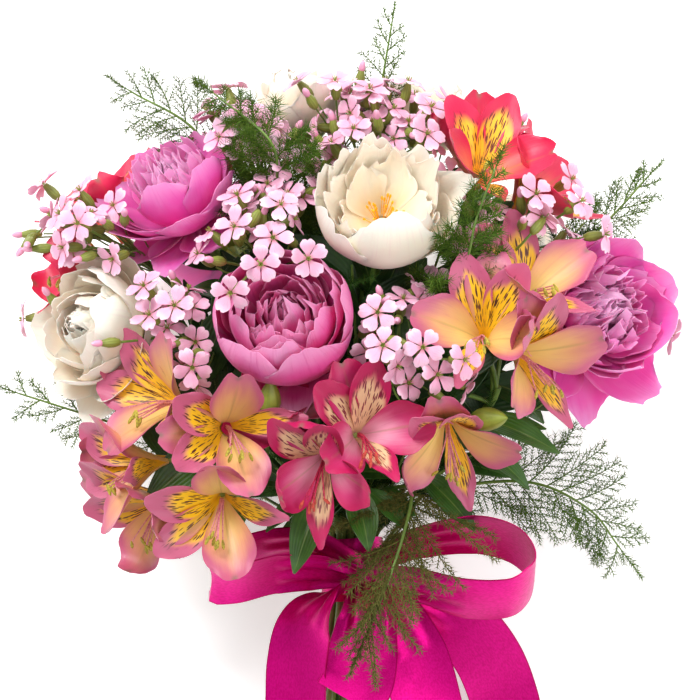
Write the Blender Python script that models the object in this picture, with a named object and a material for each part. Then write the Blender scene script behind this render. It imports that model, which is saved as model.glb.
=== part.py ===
"""Hand-tied peony bouquet, laid down on its back: peonies, Peruvian lilies, soapwort sprays and asparagus
fern, tied with a satin ribbon. Blender 4.5, metres, +Z up.

Everything is placed in the bouquet's own frame, in millimetres: x to the right, y up along the stems
towards the blooms, z towards the front, with the tie at the origin. The empty "bouquet" then lays it down on
z = 0."""

import math
import random

import bmesh
import bpy
from mathutils import Matrix, Vector
from mathutils.bvhtree import BVHTree

MM = 0.001
LAY_TILT = math.radians(12.0)  # the stem axis rises by this towards the head once the bouquet is laid down
PRESS = 2.0  # the lowest petals are pressed flat by this much
GAP = 0.4  # between pieces that touch

STEM_BELOW_TIE = 150.0
CUT_SPREAD = 8.0  # how unequal the cut ends are
SPLAY = 1.25  # the stems' spread at the cut ends, over that at the tie, less one
SPLAY_TWIST = math.radians(38)
STRAIGHT_AT_TIE = 21.0  # the stems run straight for this far on both sides of the tie

PEONY_STEM = 5.6
LILY_STEM = 4.6
SPRAY_STEM = 3.0
FERN_STEM = 2.6

SPRAY_DEPTH = 58.0  # from a spray's fork to the middle of its florets

RIBBON_WIDTH = 38.0
RIBBON_THICK = 1.2
BAND_HEIGHT = 34.0

PINK = (0.86, 0.22, 0.56)
DEEP_PINK = (0.80, 0.16, 0.45)
WHITE = (0.93, 0.89, 0.82)
BLUSH_GOLD = (0.82, 0.42, 0.36)
CRIMSON = (0.70, 0.06, 0.22)
CORAL = (0.85, 0.10, 0.18)
PALE_PINK = (0.93, 0.58, 0.72)
STEM_GREEN = (0.22, 0.36, 0.10)
FERN_GREEN = (0.10, 0.26, 0.07)
MAGENTA = (0.72, 0.0, 0.32)

# Name: centre, facing, radius, form, colour
PEONIES = {
    "peony_pink_left": ((-94, 206, 26), (-0.40, 0.72, 0.55), 37, "open", PINK),
    "peony_pink_centre": ((-35, 134, 72), (-0.12, 0.42, 0.90), 38, "cup", DEEP_PINK),
    "peony_pink_right": ((134, 141, 28), (0.50, 0.22, 0.84), 42, "open", PINK),
    "peony_white_centre": ((17, 196, 62), (0.05, 0.40, 0.90), 37, "bowl", WHITE),
    "peony_white_left": ((-136, 131, 20), (-0.62, 0.20, 0.72), 38, "open", WHITE),
    "peony_white_top": ((-30, 254, -22), (-0.25, 0.95, 0.10), 33, "open", WHITE),
    "peony_white_behind": ((43, 250, -42), (0.25, 0.92, -0.15), 32, "open", WHITE),
    "peony_pink_behind": ((-76, 184, -66), (-0.40, 0.38, -0.82), 35, "open", PINK),
    "peony_white_low": ((84, 176, -66), (0.42, 0.35, -0.83), 35, "open", WHITE),
}
PEONY_PAINT = {PINK: "pink petals", DEEP_PINK: "deep pink petals", WHITE: "white petals"}
# Blooms that the laid bouquet rests on
RESTING = ("peony_pink_behind", "peony_white_low")

# Stem name: where its flower stalks fork, colour, then for each flower its throat, facing, roll in degrees
LILIES = {
    "lily_left": ((-78, 66, 34), BLUSH_GOLD, (
        ((-62, 78, 86), (0.25, -0.05, 0.95), 96),
        ((-106, 95, 62), (-0.72, 0.22, 0.62), 60),
        ((-122, 58, 50), (-0.90, -0.08, 0.42), 80),
        ((-70, 34, 76), (-0.02, -0.35, 0.93), 96),
        ((-112, 30, 34), (-0.60, -0.50, 0.55), 60),
    )),
    "lily_right": ((80, 104, 34), BLUSH_GOLD, (
        ((68, 131, 86), (-0.10, 0.28, 0.95), -12),
        ((97, 156, 66), (0.36, 0.58, 0.68), 30),
        ((100, 113, 72), (0.62, -0.25, 0.72), 30),
        ((53, 68, 76), (0.12, -0.70, 0.68), 20),
    )),
    "lily_crimson": ((-10, 70, 40), CRIMSON, (
        ((-19, 54, 88), (-0.25, -0.45, 0.85), 0),
        ((8, 75, 92), (0.25, 0.02, 0.96), 20),
        ((-32, 90, 64), (-0.22, 0.30, 0.92), 30),
    )),
    "lily_coral": ((66, 178, 14), CORAL, (
        ((73, 222, 46), (0.25, 0.55, 0.80), 0),
        ((104, 206, 22), (0.80, 0.50, 0.25), 20),
        ((72, 226, 4), (0.35, 0.90, -0.10), 20),
    )),
    "lily_coral_left": ((-118, 165, -16), CORAL, (
        ((-138, 200, -12), (-0.50, 0.75, 0.20), 0),
        ((-152, 168, -10), (-0.95, 0.15, 0.25), 20),
    )),
}

# Name: middle of the head, facing, reach, number of florets, roll in degrees
SPRAYS = {
    "soapwort_centre": ((-50, 178, 88), (-0.12, 0.30, 0.94), 36, 8, 10),
    "soapwort_left_low": ((-108, 128, 72), (-0.42, 0.05, 0.90), 28, 7, 0),
    "soapwort_left": ((-160, 190, 30), (-0.85, 0.35, 0.40), 28, 7, 30),
    "soapwort_top_left": ((-68, 246, 28), (-0.35, 0.85, 0.40), 38, 8, 20),
    "soapwort_top": ((26, 262, 26), (0.12, 0.88, 0.42), 36, 8, 40),
    "soapwort_right": ((112, 196, 58), (0.50, 0.45, 0.74), 36, 8, 5),
    "soapwort_front": ((30, 118, 106), (0.10, 0.08, 0.98), 36, 9, 25),
    "soapwort_behind": ((2, 196, -72), (0.05, 0.40, -0.90), 32, 6, 0),
}

# Name: points that the frond runs through after the tie, longest side branch, number of branches, and the way
# that its width lies
FERNS = {
    "fern_centre_left": (
        ((-38, 172, -6), (-40, 208, 42), (-44, 232, 58), (-74, 258, 40)), 34, 10, (1, 0.2, 0.3),
    ),
    "fern_top_left": (((-60, 190, -10), (-84, 238, 8), (-122, 262, 10)), 30, 9, (0.3, 1, 0.3)),
    "fern_right_plume": (
        ((36, 130, 30), (58, 160, 74), (66, 190, 84), (76, 216, 80)), 26, 12, (1, 0, -0.3),
    ),
    "fern_top": (((8, 200, -6), (14, 250, -4), (22, 300, 0)), 22, 9, (1, 0.1, 0.4)),
    "fern_right": (((96, 150, -20), (140, 190, -14), (162, 214, -8)), 28, 10, (0.4, -0.6, 0.7)),
    "fern_right_low": (
        ((50, 44, 0), (92, 48, 8), (128, 34, 18), (146, 12, 18)), 40, 12, (0.4, 0.9, 0.1),
    ),
    "fern_left_low": (((-62, 50, -4), (-126, 78, 0), (-182, 96, 10)), 30, 9, (0.3, -0.9, 0.3)),
    "fern_over_ribbon": (((22, 46, 20), (32, 42, 48), (22, 4, 66), (6, -36, 62)), 36, 10, (1, 0, 0)),
}


def turned(point, facing, roll=0.0):
    """Puts local +Z along facing at point, with local +Y as near to the bouquet's up as it can be, and turns
    that by roll degrees about Z."""
    z = Vector(facing).normalized()
    up = Vector((0, 1, 0)) if abs(z.y) < 0.97 else Vector((0, 0, 1))
    y = (up - z * up.dot(z)).normalized()
    at = Matrix((y.cross(z), y, z)).transposed().to_4x4()
    at.translation = Vector(point)
    return at @ Matrix.Rotation(math.radians(roll), 4, "Z")


def ball(segments, rings, place):
    """A closed shape from a UV sphere. place(turn, level) gives each point, and level 0 is the low pole."""
    shape = bmesh.new()
    bmesh.ops.create_uvsphere(shape, u_segments=segments, v_segments=rings, radius=1.0)
    for vert in shape.verts:
        level = round(math.acos(max(-1.0, min(1.0, -vert.co.z))) / math.pi * rings)
        turn = math.atan2(vert.co.y, vert.co.x)
        vert.co = place(turn, level)
    return facing_out(shape)


def facing_out(shape):
    """The closed shape with its faces turned out."""
    if shape.calc_volume(signed=True) < 0:
        bmesh.ops.reverse_faces(shape, faces=shape.faces[:])
    return shape


# Placing pieces clear of each other


class Placed:
    """The shapes that are already in place, for keeping a new one clear of them."""

    def __init__(self):
        self.trees = {}

    def add(self, name, shape):
        self.trees[name] = BVHTree.FromBMesh(shape)

    def put(self, name, obj):
        shape = bmesh.new()
        shape.from_mesh(obj.data)
        self.add(name, shape)
        shape.free()

    def shape_is_clear(self, shape):
        """True if the shape, made larger by the gap, meets nothing placed."""
        larger = shape.copy()
        larger.normal_update()
        for vert in larger.verts:
            vert.co += vert.normal * GAP
        own = BVHTree.FromBMesh(larger)
        first = next(iter(larger.verts)).co.copy()
        larger.free()
        return not any(tree.overlap(own) or inside(tree, first) for tree in self.trees.values())


def inside(tree, point):
    """Whether the point is inside the closed shape of the tree."""
    beam = Vector((0.267, 0.535, 0.802))
    hit, normal, _, _ = tree.ray_cast(point, beam)
    return hit is not None and normal.dot(beam) > 0


PLACED = Placed()
PIECES = {}
CUTTERS = {}
BLOOMS = []
SEATS = {}
ROUTES = {}
COLLECTION = bpy.data.collections.new("peony bouquet")


# Blooms

# For each level: radius and height in the notch between petals, then at the middle of a petal, as shares of
# the bloom's radius, and the petals' turn in steps of a petal
PEONY_LEVELS = {
    "open": (
        (0.00, 0.00, 0.00, 0.00, 0.0),
        (0.26, 0.03, 0.30, 0.03, 0.0),
        (0.66, 0.26, 0.84, 0.20, 0.0),
        (0.72, 0.44, 1.12, 0.62, 0.0),
        (0.62, 0.46, 0.66, 0.44, 0.5),
        (0.58, 0.66, 0.80, 1.02, 0.5),
        (0.38, 0.70, 0.42, 0.70, 0.0),
        (0.26, 0.84, 0.40, 1.14, 0.0),
        (0.00, 0.82, 0.00, 0.82, 0.0),
    ),
    "cup": (
        (0.00, 0.00, 0.00, 0.00, 0.0),
        (0.32, 0.03, 0.34, 0.03, 0.0),
        (0.86, 0.42, 0.94, 0.40, 0.0),
        (0.82, 0.86, 0.92, 1.22, 0.0),
        (0.66, 0.80, 0.70, 0.80, 0.5),
        (0.58, 0.92, 0.64, 1.22, 0.5),
        (0.38, 0.76, 0.42, 0.76, 0.0),
        (0.26, 0.84, 0.34, 1.08, 0.0),
        (0.00, 0.70, 0.00, 0.70, 0.0),
    ),
    "bowl": (
        (0.00, 0.00, 0.00, 0.00, 0.0),
        (0.28, 0.03, 0.32, 0.03, 0.0),
        (0.74, 0.34, 0.86, 0.28, 0.0),
        (0.84, 0.72, 1.10, 1.08, 0.0),
        (0.70, 0.60, 0.74, 0.58, 0.5),
        (0.62, 0.80, 0.80, 1.16, 0.5),
        (0.44, 0.52, 0.48, 0.52, 0.0),
        (0.28, 0.58, 0.38, 0.84, 0.0),
        (0.00, 0.48, 0.00, 0.48, 0.0),
    ),
}
PEONY_PETALS = 5
PEONY_SEGMENTS = 20
PETAL_ROUNDNESS = 0.6  # 1 gives petals with a pointed tip, and less a broader one
PETAL_UNEVEN = 0.06
PEONY_SEAT = 0.55  # from the seat on the stem to the bloom's centre, as a share of its radius


def peony(name, radius, form):
    """Three rings of petals, each ring cleft between its petals and set half a petal from the next."""
    rng = random.Random(name)
    levels = PEONY_LEVELS[form]
    uneven = {}

    def place(turn, level):
        notch_r, notch_h, petal_r, petal_h, phase = levels[level]
        across = (turn - phase * math.tau / PEONY_PETALS) * PEONY_PETALS / 2
        share = abs(math.cos(across)) ** PETAL_ROUNDNESS
        petal = (level, round((turn / math.tau * PEONY_PETALS - phase) % PEONY_PETALS) % PEONY_PETALS)
        wave = 1
        if 2 < level < len(levels) - 1:
            wave = uneven.setdefault(petal, 1 + rng.uniform(-PETAL_UNEVEN, PETAL_UNEVEN))
        r = (notch_r + (petal_r - notch_r) * share) * wave * radius
        h = (notch_h + (petal_h - notch_h) * share) * radius
        return r * math.cos(turn), r * math.sin(turn), h

    return ball(PEONY_SEGMENTS, len(levels) - 1, place)


# For each level of a lily: radius and height in the notch, at a tepal's shoulder and at its middle
LILY_LEVELS = (
    ((0.0, 0.0), (0.0, 0.0), (0.0, 0.0)),
    ((7.2, 14.5), (15.0, 25.0), (15.5, 25.5)),
    ((8.0, 18.2), (33.0, 40.0), (37.0, 39.5)),
    ((6.2, 17.4), (14.4, 29.2), (14.4, 30.2)),
    ((0.0, 9.0), (0.0, 9.0), (0.0, 9.0)),
)
LILY_TEPALS = 6
LILY_HALF_STEP = math.radians(15)  # a quarter of the way round from one tepal to the next
OUTER_SHOULDER = math.radians(19)  # half the angle that an outer tepal spans
INNER_SHOULDER = math.radians(14)
INNER_RISE = 1.5  # the inner tepals lie this much higher
INNER_REACH = 0.92  # of the outer tepals' reach
LILY_TURN = math.radians(30)
LILY_HINGE = (8.0, 15.0)  # radius and height about which a tepal bends
LILY_BENDS = (0, 12, -12, 24, 36, -20, 46)  # tried in this order to keep a tepal clear of its neighbours
LILY_THROAT = 25.0  # from the seat of a flower to its throat


def lily(bends):
    """A funnel cleft into six tepals, three wide outer ones and three narrower inner ones. Each is bent up
    towards the flower's axis by its angle in bends, in degrees."""

    def place(turn, level):
        tepal = round(turn / math.tau * LILY_TEPALS)
        off = turn - tepal * math.tau / LILY_TEPALS
        step = round(abs(off) / LILY_HALF_STEP)
        wide = tepal % 2 == 0
        r, h = LILY_LEVELS[level][2 - step]
        if step == 1:
            off = math.copysign(OUTER_SHOULDER if wide else INNER_SHOULDER, off)
        if step < 2 and 0 < level < len(LILY_LEVELS) - 1:
            if not wide:
                h += INNER_RISE
                r *= INNER_REACH if level == 2 else 1.0
            bend = math.radians(bends[tepal % LILY_TEPALS]) * (1.0 if level == 2 else 0.5)
            out, up = r - LILY_HINGE[0], h - LILY_HINGE[1]
            r = LILY_HINGE[0] + out * math.cos(bend) - up * math.sin(bend)
            h = LILY_HINGE[1] + out * math.sin(bend) + up * math.cos(bend)
        angle = tepal * math.tau / LILY_TEPALS + off
        return r * math.cos(angle), r * math.sin(angle), h

    shape = ball(LILY_TEPALS * 4, len(LILY_LEVELS) - 1, place)
    shape.transform(Matrix.Rotation(LILY_TURN, 4, "Z"))
    return shape


FLORET_REACH = 11.0
FLORET_NOTCH = 0.4  # of the reach, between two petals
FLORET_THICK = 2.0
FLORET_THROAT = 2.7
CALYX_LENGTH = 12.0
CALYX_BELLY = 3.0


def spindle(points, radii, sides=3):
    """A tapered tube along the points that closes to a point at both ends, where its radius is 0."""
    count = len(points)
    points = [Vector(p) for p in points]
    along = [(points[min(i + 1, count - 1)] - points[max(i - 1, 0)]).normalized() for i in range(count)]
    across = along[0].orthogonal().normalized()

    def place(turn, level):
        x = (across - along[level] * across.dot(along[level])).normalized()
        y = along[level].cross(x)
        return points[level] + (x * math.cos(turn) + y * math.sin(turn)) * radii[level]

    return ball(sides, count - 1, place)


def corolla():
    """The five petals of a soapwort flower in one thin star on a flat underside, its throat at the origin."""
    star = bmesh.new()
    bmesh.ops.create_cone(
        star, cap_ends=True, segments=10, radius1=FLORET_THROAT, radius2=FLORET_REACH, depth=FLORET_THICK
    )
    for vert in star.verts:
        if vert.co.z > 0 and round(math.atan2(vert.co.x, vert.co.y) / math.tau * 10) % 2:
            vert.co.x *= FLORET_NOTCH
            vert.co.y *= FLORET_NOTCH
    return star


FEATHER_THICK = 0.9
FEATHER_BARBS = 3
FEATHER_WIDTH = 0.62  # of a side branch, over its length
FEATHER_TAPER = 0.45
FEATHER_RIB = 0.8  # from the middle of a side branch to its edge between two barbs
BARB_AHEAD = 0.14  # how far a barb points forward, over the branch's length


def feather(length, rise):
    """One side branch of asparagus fern: a thin blade along +Y, barbed on each side in turn, arched by
    rise."""
    width = length * FEATHER_WIDTH
    levels = FEATHER_BARBS + 1

    def place(turn, level):
        s = level / levels
        arch = rise * s * (1 - s)
        if level in (0, levels):
            return 0.0, length * s, arch
        if math.sin(turn) > 0.9:
            return 0.0, length * s, arch + FEATHER_THICK
        side = 1 if math.cos(turn) > 0 else -1
        if (level % 2 == 0) == (side > 0):
            return side * width / 2 * (1 - FEATHER_TAPER * s), length * (s + BARB_AHEAD), arch
        return side * FEATHER_RIB, length * s, arch

    return ball(3, levels, place)


LEAF_LEVELS = 4
LEAF_THICK = 0.55  # at its middle, on each side
LEAF_FOLD = 0.25  # how far each half of a leaf rises from its midrib, over its width


def leaf(length, width, bend):
    """A lance-shaped blade from the origin along +Y, its face to +Z, bent down by bend degrees at its tip."""

    def place(turn, level):
        s = level / LEAF_LEVELS
        at_end = level in (0, LEAF_LEVELS)
        half = 0.0 if at_end else width / 2 * math.sin(math.pi * min(1.0, s * 0.92 + 0.08)) ** 0.8
        angle = -math.radians(bend) * s
        reach = length * s
        y = reach * math.cos(angle / 2)
        z = reach * math.sin(angle / 2)
        side = round(math.cos(turn))
        face = round(math.sin(turn))
        return side * half, y, z + abs(side) * half * LEAF_FOLD + face * (0.0 if at_end else LEAF_THICK)

    return ball(4, LEAF_LEVELS, place)


# Stems

UP_WAY = Vector((0, 1, 0))
TIE_SLACK = 0.05
LEAN_SPREAD = 14.0  # how far out a stem starts for each radian that its head leans
DRAWING_STEPS = 600
SETTLING_STEPS = 300
DRAWING_PULL = 0.015  # the share of its way to the middle that a stem is drawn in one step


def at_tie():
    """Where each stem passes the tie: each starts on the side that its head leans to, then all are drawn
    together and pushed apart until they only touch."""
    heads = {}
    for name in PEONIES:
        heads[name] = (seat_of_peony(name), PEONY_STEM / 2)
    for name, (fork, _, _) in LILIES.items():
        heads[name] = (Vector(fork), LILY_STEM / 2)
    for name, (middle, facing, _, _, _) in SPRAYS.items():
        heads[name] = (Vector(middle) - Vector(facing).normalized() * SPRAY_DEPTH, SPRAY_STEM / 2)
    for name, (points, _, _, _) in FERNS.items():
        heads[name] = (Vector(points[0]), FERN_STEM / 2)
    spots = {}
    for name, (head, radius) in heads.items():
        aside = Vector((head.x, head.z))
        lean = math.atan2(aside.length, max(head.y, 1.0))
        spots[name] = aside.normalized() * (lean * LEAN_SPREAD)
    names = list(heads)
    for step in range(DRAWING_STEPS + SETTLING_STEPS):
        pull = DRAWING_PULL if step < DRAWING_STEPS else 0.0
        for name in names:
            spots[name] = spots[name] * (1 - pull)
        for i, a in enumerate(names):
            for b in names[i + 1 :]:
                apart = spots[b] - spots[a]
                need = heads[a][1] + heads[b][1] + GAP + TIE_SLACK
                if apart.length < need:
                    push = apart.normalized() * ((need - apart.length) / 2)
                    spots[a] -= push
                    spots[b] += push
    return {name: (spots[name], heads[name][1]) for name in names}


def seat_of_peony(name):
    centre, facing, radius, _, _ = PEONIES[name]
    return Vector(centre) - Vector(facing).normalized() * (PEONY_SEAT * radius)


def lower_route(name, spot):
    """From the cut end to just above the tie, splayed and slightly turned below it."""
    end = STEM_BELOW_TIE + random.Random(name).uniform(-CUT_SPREAD, 0)
    points = []
    for y in (-end, -0.55 * end, -STRAIGHT_AT_TIE):
        t = (-y - STRAIGHT_AT_TIE) / (STEM_BELOW_TIE - STRAIGHT_AT_TIE)
        grow = 1 + SPLAY * t**1.2
        turn = SPLAY_TWIST * t
        x = grow * (spot.x * math.cos(turn) - spot.y * math.sin(turn))
        z = grow * (spot.x * math.sin(turn) + spot.y * math.cos(turn))
        points.append(Vector((x, y, z)))
    return points + [Vector((spot.x, STRAIGHT_AT_TIE, spot.y))]


def at_height(route, y):
    """The route's point at that height, and its direction there."""
    for a, b in zip(route, route[1:]):
        if a.y <= y <= b.y:
            return a.lerp(b, (y - a.y) / (b.y - a.y)), (b - a).normalized()
    return route[-1], (route[-1] - route[-2]).normalized()


CURVE_HANDLE = 0.36  # how far a smooth curve runs along its end directions, over the distance that it spans


def curve_between(start, start_way, end, end_way, steps):
    """Points of a smooth curve that leaves start along start_way and comes to end along end_way."""
    handle = (end - start).length * CURVE_HANDLE
    p1 = start + start_way.normalized() * handle
    p2 = end - end_way.normalized() * handle
    points = []
    for i in range(1, steps + 1):
        t = i / steps
        s = 1 - t
        points.append(start * s**3 + p1 * (3 * s * s * t) + p2 * (3 * s * t * t) + end * t**3)
    return points


def dense(points, step):
    """The polyline with a point at least every step."""
    found = [points[0]]
    for a, b in zip(points, points[1:]):
        count = max(1, math.ceil((b - a).length / step))
        found += [a.lerp(b, i / count) for i in range(1, count + 1)]
    return found


RELAX_ROUNDS = 40
RELAX_SLACK = 0.5  # on top of the gap
RELAX_STEP = 3.0
OWN_END = 0.2  # the share of a route's first and last stretch that may touch what it grows from or carries


def relaxed(points, radius, skip=()):
    """The route with its inner points pushed aside until the tube clears what is placed. Its ends stay."""
    points = [Vector(p) for p in points]
    need = radius + GAP + RELAX_SLACK
    for _ in range(RELAX_ROUNDS):
        pushes = [Vector() for _ in points]
        met = False
        for i, (a, b) in enumerate(zip(points, points[1:])):
            count = max(2, math.ceil((b - a).length / RELAX_STEP))
            for k in range(count + 1):
                t = k / count
                if (i == 0 and t < OWN_END) or (i == len(points) - 2 and t > 1 - OWN_END):
                    continue
                spot = a.lerp(b, t)
                for name, tree in PLACED.trees.items():
                    if name in skip:
                        continue
                    push = push_off(tree, spot, need)
                    if push is None:
                        continue
                    met = True
                    for j, share in ((i, 1 - t), (i + 1, t)):
                        if (push * share).length > pushes[j].length:
                            pushes[j] = push * share
        if not met:
            break
        for j in range(1, len(points) - 1):
            points[j] += pushes[j] * 1.2
    return points


DEEPEST = 45.0  # no point lies deeper than this in another piece


def push_off(tree, spot, need):
    """How far to move the spot to be clear of the closed shape by need, or None if it is clear."""
    near, normal, _, far = tree.find_nearest(spot, DEEPEST)
    if near is None:
        return None
    deep = inside(tree, spot)
    if not deep and far >= need:
        return None
    away = (near - spot) if deep else (spot - near)
    away = away.normalized() if away.length > 1e-6 else normal
    return away * ((far + need) if deep else (need - far))


PLANE_STEP = 4.0  # between the planes across the bundle in which the stems are pushed apart
BUNDLE_ROUNDS = 160
BUNDLE_SLACK = 1.0
BUNDLE_SMOOTHED = 0.8  # the share of the rounds in which each push is spread along its stem
OWN_HEAD = 14.0  # a stem's last stretch may be as near as this to what it carries
THINNING = 0.8  # how far a stem may cut its smooth route short


def bundle(spots, ends, tree):
    """Routes of all the stems from the tie to their ends, pushed clear of each other and of the blooms, plane
    by plane, and bent smoothly."""
    names = list(ends)
    routes = {}
    for name in names:
        spot, radius = spots[name]
        start = Vector((spot.x, STRAIGHT_AT_TIE, spot.y))
        end, way = ends[name]
        curve = [start] + curve_between(start, UP_WAY, end, way, 60)
        count = max(3, round((end.y - start.y) / PLANE_STEP))
        line = [curve[0]]
        for k in range(1, count):
            y = start.y + (end.y - start.y) * k / count
            line.append(at_height(curve, y)[0])
        routes[name] = line + [end]
    first = {name: [p.copy() for p in line] for name, line in routes.items()}
    for step in range(BUNDLE_ROUNDS):
        pushes = {name: [Vector() for _ in line] for name, line in routes.items()}
        for i, a in enumerate(names):
            for b in names[i + 1 :]:
                need = spots[a][1] + spots[b][1] + GAP + BUNDLE_SLACK
                push_apart(routes[a], routes[b], need, pushes[a], pushes[b])
        for name in names:
            line = routes[name]
            need = spots[name][1] + GAP + BUNDLE_SLACK
            for k in range(1, len(line) - 1):
                if (line[k] - line[-1]).length > OWN_HEAD:
                    push = push_off(tree, line[k], need)
                    if push is not None:
                        pushes[name][k] += Vector((push.x, 0, push.z)) * 0.6
        for name in names:
            line, moved = routes[name], pushes[name]
            for k in range(1, len(line) - 1):
                line[k] += moved[k]
            if step < BUNDLE_ROUNDS * BUNDLE_SMOOTHED:
                shift = [p - q for p, q in zip(line, first[name])]
                for k in range(1, len(line) - 1):
                    line[k] = first[name][k] + shift[k] * 0.5 + (shift[k - 1] + shift[k + 1]) * 0.25
    return {name: thinned(line, THINNING) for name, line in routes.items()}


def push_apart(one, other, need, push_one, push_other):
    """Pushes two routes apart: each point of one, and the other's point in the same plane across the
    bundle."""
    top = min(one[-1].y, other[-1].y)
    j = 0
    for k, p in enumerate(one):
        if p.y > top:
            break
        while j < len(other) - 2 and other[j + 1].y < p.y:
            j += 1
        a, b = other[j], other[j + 1]
        t = max(0.0, min(1.0, (p.y - a.y) / max(1e-6, b.y - a.y)))
        q = a.lerp(b, t)
        apart = Vector((p.x - q.x, 0, p.z - q.z))
        along = b - a
        slant = along.length / max(1e-6, along.y)
        room = need * min(slant, 1.6)
        if apart.length < room:
            push = apart.normalized() * ((room - apart.length) * 0.25)
            push_one[k] += push
            push_other[j] -= push * (1 - t)
            push_other[j + 1] -= push * t


def thinned(line, tolerance):
    """The polyline with the points left out that lie within the tolerance of the rest."""
    if len(line) < 3:
        return line
    a, b = line[0], line[-1]
    along = (b - a).normalized()
    far, k = max(
        (((p - a) - along * (p - a).dot(along)).length, i) for i, p in enumerate(line[1:-1], 1)
    )
    if far < tolerance:
        return [a, b]
    return thinned(line[: k + 1], tolerance)[:-1] + thinned(line[k:], tolerance)


def tube(points, radii, sides_step):
    """A closed mesh tube along the points, from a curve with a bevel. sides_step 0 gives 4 sides, and 1
    gives 6."""
    data = bpy.data.curves.new("route", "CURVE")
    data.dimensions = "3D"
    data.bevel_depth = 1.0
    data.bevel_resolution = sides_step
    data.use_fill_caps = True
    spline = data.splines.new("POLY")
    spline.points.add(len(points) - 1)
    for target, point, radius in zip(spline.points, points, radii):
        target.co = (*point, 1.0)
        target.radius = radius
    holder = bpy.data.objects.new("route", data)
    bpy.context.scene.collection.objects.link(holder)
    graph = bpy.context.evaluated_depsgraph_get()
    mesh = bpy.data.meshes.new_from_object(holder.evaluated_get(graph))
    shape = bmesh.new()
    shape.from_mesh(mesh)
    bmesh.ops.remove_doubles(shape, verts=shape.verts, dist=1e-4)
    bpy.data.objects.remove(holder)
    bpy.data.curves.remove(data)
    bpy.data.meshes.remove(mesh)
    return shape


# Objects


SHARP = math.radians(40)
ROUGHNESS = {"satin magenta": 0.32, "stem green": 0.55, "fern green": 0.6}
PETAL_ROUGHNESS = 0.5


def paint(name, colour):
    found = bpy.data.materials.get(name)
    if found:
        return found
    made = bpy.data.materials.new(name)
    made.use_nodes = True
    shader = made.node_tree.nodes["Principled BSDF"]
    shader.inputs["Base Color"].default_value = (*colour, 1.0)
    shader.inputs["Roughness"].default_value = ROUGHNESS.get(name, PETAL_ROUGHNESS)
    shader.inputs["Metallic"].default_value = 0.0
    return made


def raw_object(name, shape):
    mesh = bpy.data.meshes.new(name)
    shape.normal_update()
    shape.to_mesh(mesh)
    made = bpy.data.objects.new(name, mesh)
    return made


def applied(obj):
    """Replaces the object's mesh by what its modifiers make of it."""
    bpy.context.view_layer.update()
    graph = bpy.context.evaluated_depsgraph_get()
    made = bpy.data.meshes.new_from_object(obj.evaluated_get(graph))
    obj.modifiers.clear()
    obj.data = made


def bodies_of(shape):
    """The vertices of each separate body of the shape."""
    left = set(shape.verts)
    bodies = []
    while left:
        seed = left.pop()
        body = {seed}
        front = [seed]
        while front:
            for edge in front.pop().link_edges:
                for vert in edge.verts:
                    if vert in left:
                        left.discard(vert)
                        body.add(vert)
                        front.append(vert)
        bodies.append(body)
    return bodies


def volume_of(body):
    """Six times the volume that the body's faces enclose."""
    total = 0.0
    for face in {face for vert in body for face in vert.link_faces}:
        corners = [vert.co for vert in face.verts]
        for a, b in zip(corners[1:], corners[2:]):
            total += corners[0].dot(a.cross(b))
    return total


def largest_body(obj):
    """Drops every loose scrap, keeping the body that fills the most space."""
    shape = bmesh.new()
    shape.from_mesh(obj.data)
    bodies = sorted(bodies_of(shape), key=volume_of)
    scraps = [vert for body in bodies[:-1] for vert in body]
    bmesh.ops.delete(shape, geom=scraps, context="VERTS")
    shape.to_mesh(obj.data)
    shape.free()


SHORTEST_EDGE = 0.7
MERGING_ROUNDS = 3


def without_short_edges(obj):
    """Draws together the ends of each very short edge, where the surface stays closed and plain."""
    shape = bmesh.new()
    shape.from_mesh(obj.data)
    bmesh.ops.triangulate(shape, faces=shape.faces[:])
    before = shape.copy()
    for _ in range(MERGING_ROUNDS):
        short = [edge for edge in shape.edges if edge.calc_length() < SHORTEST_EDGE]
        done = set()
        for edge in sorted(short, key=lambda e: e.calc_length()):
            if not edge.is_valid or done & set(edge.verts):
                continue
            one, other = edge.verts
            around_one = {e.other_vert(one) for e in one.link_edges}
            around_other = {e.other_vert(other) for e in other.link_edges}
            shared = around_one & around_other
            if len(shared) != 2 or flips(edge):
                continue
            if all(any(shared <= set(face.verts) for face in vert.link_faces) for vert in (one, other)):
                continue
            done |= around_one | around_other | {one, other}
            bmesh.ops.pointmerge(shape, verts=[one, other], merge_co=(one.co + other.co) / 2)
    kept = shape if is_plain(shape) else before
    kept.to_mesh(obj.data)
    before.free()
    shape.free()


def is_plain(shape):
    """Whether the surface is closed and nowhere crosses itself."""
    if not all(edge.is_manifold for edge in shape.edges):
        return False
    shape.faces.ensure_lookup_table()
    tree = BVHTree.FromBMesh(shape)
    return all(set(shape.faces[a].verts) & set(shape.faces[b].verts) for a, b in tree.overlap(tree))


LEAST_TURN = 0.5  # the cosine of the most that a face may turn when an edge near it is drawn together


def flips(edge):
    """Whether drawing the edge to its middle would turn a face near it over."""
    middle = (edge.verts[0].co + edge.verts[1].co) / 2
    for vert in edge.verts:
        for face in vert.link_faces:
            if edge in face.edges:
                continue
            a, b = [v.co for v in face.verts if v is not vert]
            normal = (a - middle).cross(b - middle)
            before = (a - vert.co).cross(b - vert.co)
            if normal.dot(before) < LEAST_TURN * normal.length * before.length:
                return True
    return False


def boolean(obj, others, operation):
    """Joins the others to obj, or cuts them from it, and removes them."""
    group = bpy.data.collections.new("tools")
    bpy.context.scene.collection.children.link(group)
    for other in others:
        group.objects.link(other)
    step = obj.modifiers.new(operation, "BOOLEAN")
    step.operation = operation
    step.operand_type = "COLLECTION"
    step.collection = group
    step.solver = "MANIFOLD"
    applied(obj)
    for other in others:
        mesh = other.data
        bpy.data.objects.remove(other)
        bpy.data.meshes.remove(mesh)
    bpy.data.collections.remove(group)


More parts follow.
